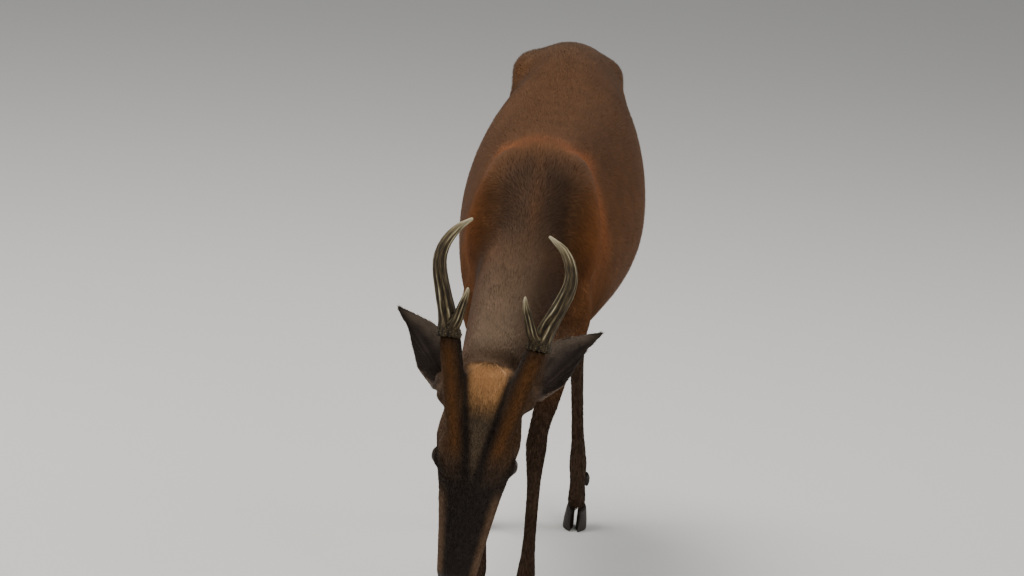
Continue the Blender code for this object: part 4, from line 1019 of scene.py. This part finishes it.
def round_route(points, route, runs):
    """Distance along the route, angle round it and gap to it, for each point."""
    nearest = np.argmin(((points[:, None] - route[None]) ** 2).sum(axis=2), axis=1)
    along = np.gradient(route, axis=0)
    along /= np.linalg.norm(along, axis=1, keepdims=True)
    along = along[nearest]
    rel = points - route[nearest]
    forward = np.array(head_turn @ Vector((0, 0, 1)))
    ahead = forward - along * (along @ forward)[:, None]
    ahead /= np.linalg.norm(ahead, axis=1, keepdims=True)
    angle = np.arctan2((rel * np.cross(along, ahead)).sum(axis=1), (rel * ahead).sum(axis=1))
    far = runs[nearest] + (rel * along).sum(axis=1)
    return far, angle, np.linalg.norm(rel, axis=1)


def antler_routes(side):
    sign, rise, lean = SIDES[side], ANTLER_RISE[side], TINE_LEAN[side]
    beam = ((0.0, -0.004, 0.002), (0.002, 0.009, 0.003), (0.006, 0.20 * rise, 0.006),
            (0.014, 0.38 * rise, 0.010), (0.0210, 0.58 * rise, 0.011), (0.0195, 0.74 * rise, 0.008),
            (0.0100, 0.89 * rise, 0.003), (-ANTLER_TIP_IN[side], rise, -0.003))
    tine = ((-0.001, 0.006, 0.006), (0.3 * lean - 0.006, 0.015, 0.013), (0.6 * lean - 0.010, 0.028, 0.019),
            (0.9 * lean - 0.014, 0.041, 0.021), (lean - 0.0155, 0.050, 0.020))
    return [smooth_route([(sign * (BURR_SPREAD + x), BURR_HEIGHT + y, z) for x, y, z in rows])
            for rows in (beam, tine)]


def carve_antler(obj, side):
    """Flutes along beam and tine, pearls round the burr; keeps how proud each place stands."""
    points, normals = mesh_points(obj.data), mesh_normals(obj.data)
    (beam, beam_run), (tine, tine_run) = antler_routes(side)
    far, angle, gap = round_route(points, beam, beam_run)
    tine_far, tine_angle, tine_gap = round_route(points, tine, tine_run)
    on_tine = (tine_gap < 0.8 * gap) & (tine_far > 0.006)
    reach = np.where(on_tine, tine_far / tine_run[-1], far / beam_run[-1])
    turn = np.where(on_tine, tine_angle, angle)
    along = np.where(on_tine, tine_far, far)
    wander = 0.6 * np.sin(along * 95.0 + 2.0 * turn) + 0.35 * np.sin(along * 210.0)
    flute = np.sin(FLUTES * turn + wander) * (0.65 + 0.35 * np.sin(2.0 * turn + along * 60.0))
    fade = soft_step(reach, 0.03, 0.12) * soft_step(-reach, -0.97, -0.78)
    height = head_coords(points)[:, 1] - BURR_HEIGHT
    low = soft_step(-height, -0.016, -0.004)
    pearl = np.maximum(np.sin(13.0 * angle + 1.5 * np.sin(height * 900.0)) * np.cos(height * 1500.0), 0.0)
    move = FLUTE_DEPTH * flute * fade * (1.0 - low) + PEARL_DEPTH * pearl * low
    set_points(obj.data, points + normals * move[:, None])
    ridge = np.clip(0.5 + 0.5 * flute * fade, 0, 1) ** 3
    add_value(obj.data, "proud", ridge * (1 - low) + 0.45 * pearl ** 2 * low)
    add_value(obj.data, "reach", np.clip(reach, 0, 1))
    grain = np.stack([np.cos(turn) * 0.008, np.sin(turn) * 0.008, along * 0.10], axis=1)
    add_vector(obj.data, "grain", grain)


def antler_material():
    """Olive-brown bone, nearly black in the flutes, pale and polished on ridges and tips."""
    mat, nodes, links, shader = shader_of("antler_bone")
    grain = node(nodes, "ShaderNodeAttribute", attribute_name="grain")
    streak = node(nodes, "ShaderNodeTexNoise", Scale=BONE_GRAIN, Detail=5.0)
    links.new(grain.outputs["Vector"], streak.inputs["Vector"])
    proud = node(nodes, "ShaderNodeAttribute", attribute_name="proud")
    mixed = node(nodes, "ShaderNodeMath", operation="MULTIPLY_ADD")
    links.new(streak.outputs["Fac"], mixed.inputs[0])
    mixed.inputs[1].default_value = 1.10
    shifted = node(nodes, "ShaderNodeMath", operation="MULTIPLY_ADD")
    links.new(proud.outputs["Fac"], shifted.inputs[0])
    shifted.inputs[1].default_value = 0.50
    shifted.inputs[2].default_value = -0.33
    links.new(shifted.outputs[0], mixed.inputs[2])
    reach = node(nodes, "ShaderNodeAttribute", attribute_name="reach")
    tip = node(nodes, "ShaderNodeMapRange")
    tip.inputs["From Min"].default_value = 0.68
    tip.inputs["From Max"].default_value = 1.0
    tip.inputs["To Max"].default_value = 0.55
    links.new(reach.outputs["Fac"], tip.inputs["Value"])
    total = node(nodes, "ShaderNodeMath", operation="ADD")
    links.new(mixed.outputs[0], total.inputs[0])
    links.new(tip.outputs["Result"], total.inputs[1])
    links.new(ramp_of(nodes, links, total.outputs[0], BONE_TONES), shader.inputs["Base Color"])
    links.new(ranged(nodes, links, proud.outputs["Fac"], 0.68, 0.50), shader.inputs["Roughness"])
    shader.inputs["Specular IOR Level"].default_value = 0.16
    raise_relief(nodes, links, shader, streak.outputs["Fac"], 0.7, 0.0006)
    return mat


bone = antler_material()
for side in SIDES:
    nodes_here = ["antler_beam_" + side, "antler_tine_" + side]
    antler = joined_copy("antler_" + side, nodes_here)
    apply_modifier(antler, "DISPLACE", strength=ANTLER_SWELL, mid_level=0.0)
    apply_modifier(antler, "REMESH", mode="VOXEL", voxel_size=ANTLER_VOXEL)
    relax(antler.data, ANTLER_PASSES, np.full(len(antler.data.vertices), 0.5))
    carve_antler(antler, side)
    bpy.ops.object.shade_smooth()
    antler.data.materials.append(bone)
    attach(antler, "root")
    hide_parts(*nodes_here)

# The hooves: two horn claws on each foot, with growth rings round the wall and a flat sole,
# and two dewclaws behind. Each claw keeps its solid's form, rounded and ringed.
HOOF_VOXEL, HOOF_PASSES = 0.0009, 14
DEWCLAW_VOXEL, DEWCLAW_PASSES = 0.0005, 10
RING_GAP = 0.0024
RING_SLOPE = 0.30
RING_DEPTH, DEWCLAW_RING_DEPTH = 0.00015, 0.000045
CLAW_REACH = 0.019
CLEFT = 0.0016
TOE_TAPER = 0.48
CREST_TAPER = 0.13
CREST_LOW, CREST_HIGH = 0.008, 0.028
SOLE_FLAT = 0.0006
STREAK_SCALE, STREAK_STRETCH = 900.0, 0.12
HORN_TONES = ((0.30, (0.007, 0.005, 0.004)), (0.80, (0.034, 0.025, 0.018)))


def horn_material():
    """Near-black horn with lighter streaks down the wall."""
    mat, nodes, links, shader = shader_of("horn")
    squeeze = on_place(nodes, links, node(nodes, "ShaderNodeMapping"))
    squeeze.inputs["Scale"].default_value = (1.0, 1.0, STREAK_STRETCH)
    streak = node(nodes, "ShaderNodeTexNoise", Scale=STREAK_SCALE, Detail=4.0)
    links.new(squeeze.outputs["Vector"], streak.inputs["Vector"])
    links.new(ramp_of(nodes, links, streak.outputs["Fac"], HORN_TONES), shader.inputs["Base Color"])
    links.new(ranged(nodes, links, streak.outputs["Fac"], 0.42, 0.62), shader.inputs["Roughness"])
    shader.inputs["Specular IOR Level"].default_value = 0.22
    raise_relief(nodes, links, shader, streak.outputs["Fac"], 0.4, 0.0004)
    return mat


def horn_piece(name, claws, voxel, passes, finish, sole):
    """Rounded copies of some claws as one piece, ringed round the wall. Claws with a sole
    taper towards the toe on their outer side and stand flat."""
    piece = joined_copy(name, claws)
    apply_modifier(piece, "REMESH", mode="VOXEL", voxel_size=voxel)
    relax(piece.data, passes, np.full(len(piece.data.vertices), 0.5))
    points, normals = mesh_points(piece.data), mesh_normals(piece.data)
    rings = np.sin((points[:, 2] - RING_SLOPE * points[:, 1]) * math.tau / RING_GAP)
    rings *= (1.0 - np.abs(normals[:, 2])) * (RING_DEPTH if sole else DEWCLAW_RING_DEPTH)
    points += normals * rings[:, None]
    if sole:
        middle = middle_of(*claws)
        toe = np.clip((middle.y + 0.002 - points[:, 1]) / CLAW_REACH, 0.0, 1.0) ** 2
        aside = points[:, 0] - middle.x
        wall = np.maximum(np.abs(aside) - CLEFT, 0.0) * (1.0 - TOE_TAPER * toe)
        crest = soft_step(points[:, 2], CREST_LOW, CREST_HIGH)
        wall *= 1.0 - CREST_TAPER * crest
        points[:, 0] = middle.x + np.sign(aside) * (np.minimum(np.abs(aside), CLEFT) + wall)
        points[:, 1] -= 2.0 * CREST_TAPER * crest * np.maximum(points[:, 1] - middle.y, 0.0)
        points[:, 2] -= points[:, 2].min() + SOLE_FLAT
    points[:, 2] = np.maximum(points[:, 2], 0.0)
    set_points(piece.data, points)
    bpy.ops.object.shade_smooth()
    piece.data.materials.append(finish)
    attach(piece, "root")
    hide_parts(*claws)


horn = horn_material()
for limb in LIMBS:
    for side in SIDES:
        foot = "{}_{}".format(limb, side)
        horn_piece("hooves_" + foot, ["hoof_{}_{}".format(foot, way) for way in ("inner", "outer")],
                   HOOF_VOXEL, HOOF_PASSES, horn, True)
        horn_piece("dewclaws_" + foot, ["dewclaw_{}_{}".format(foot, way) for way in ("inner", "outer")],
                   DEWCLAW_VOXEL, DEWCLAW_PASSES, horn, False)
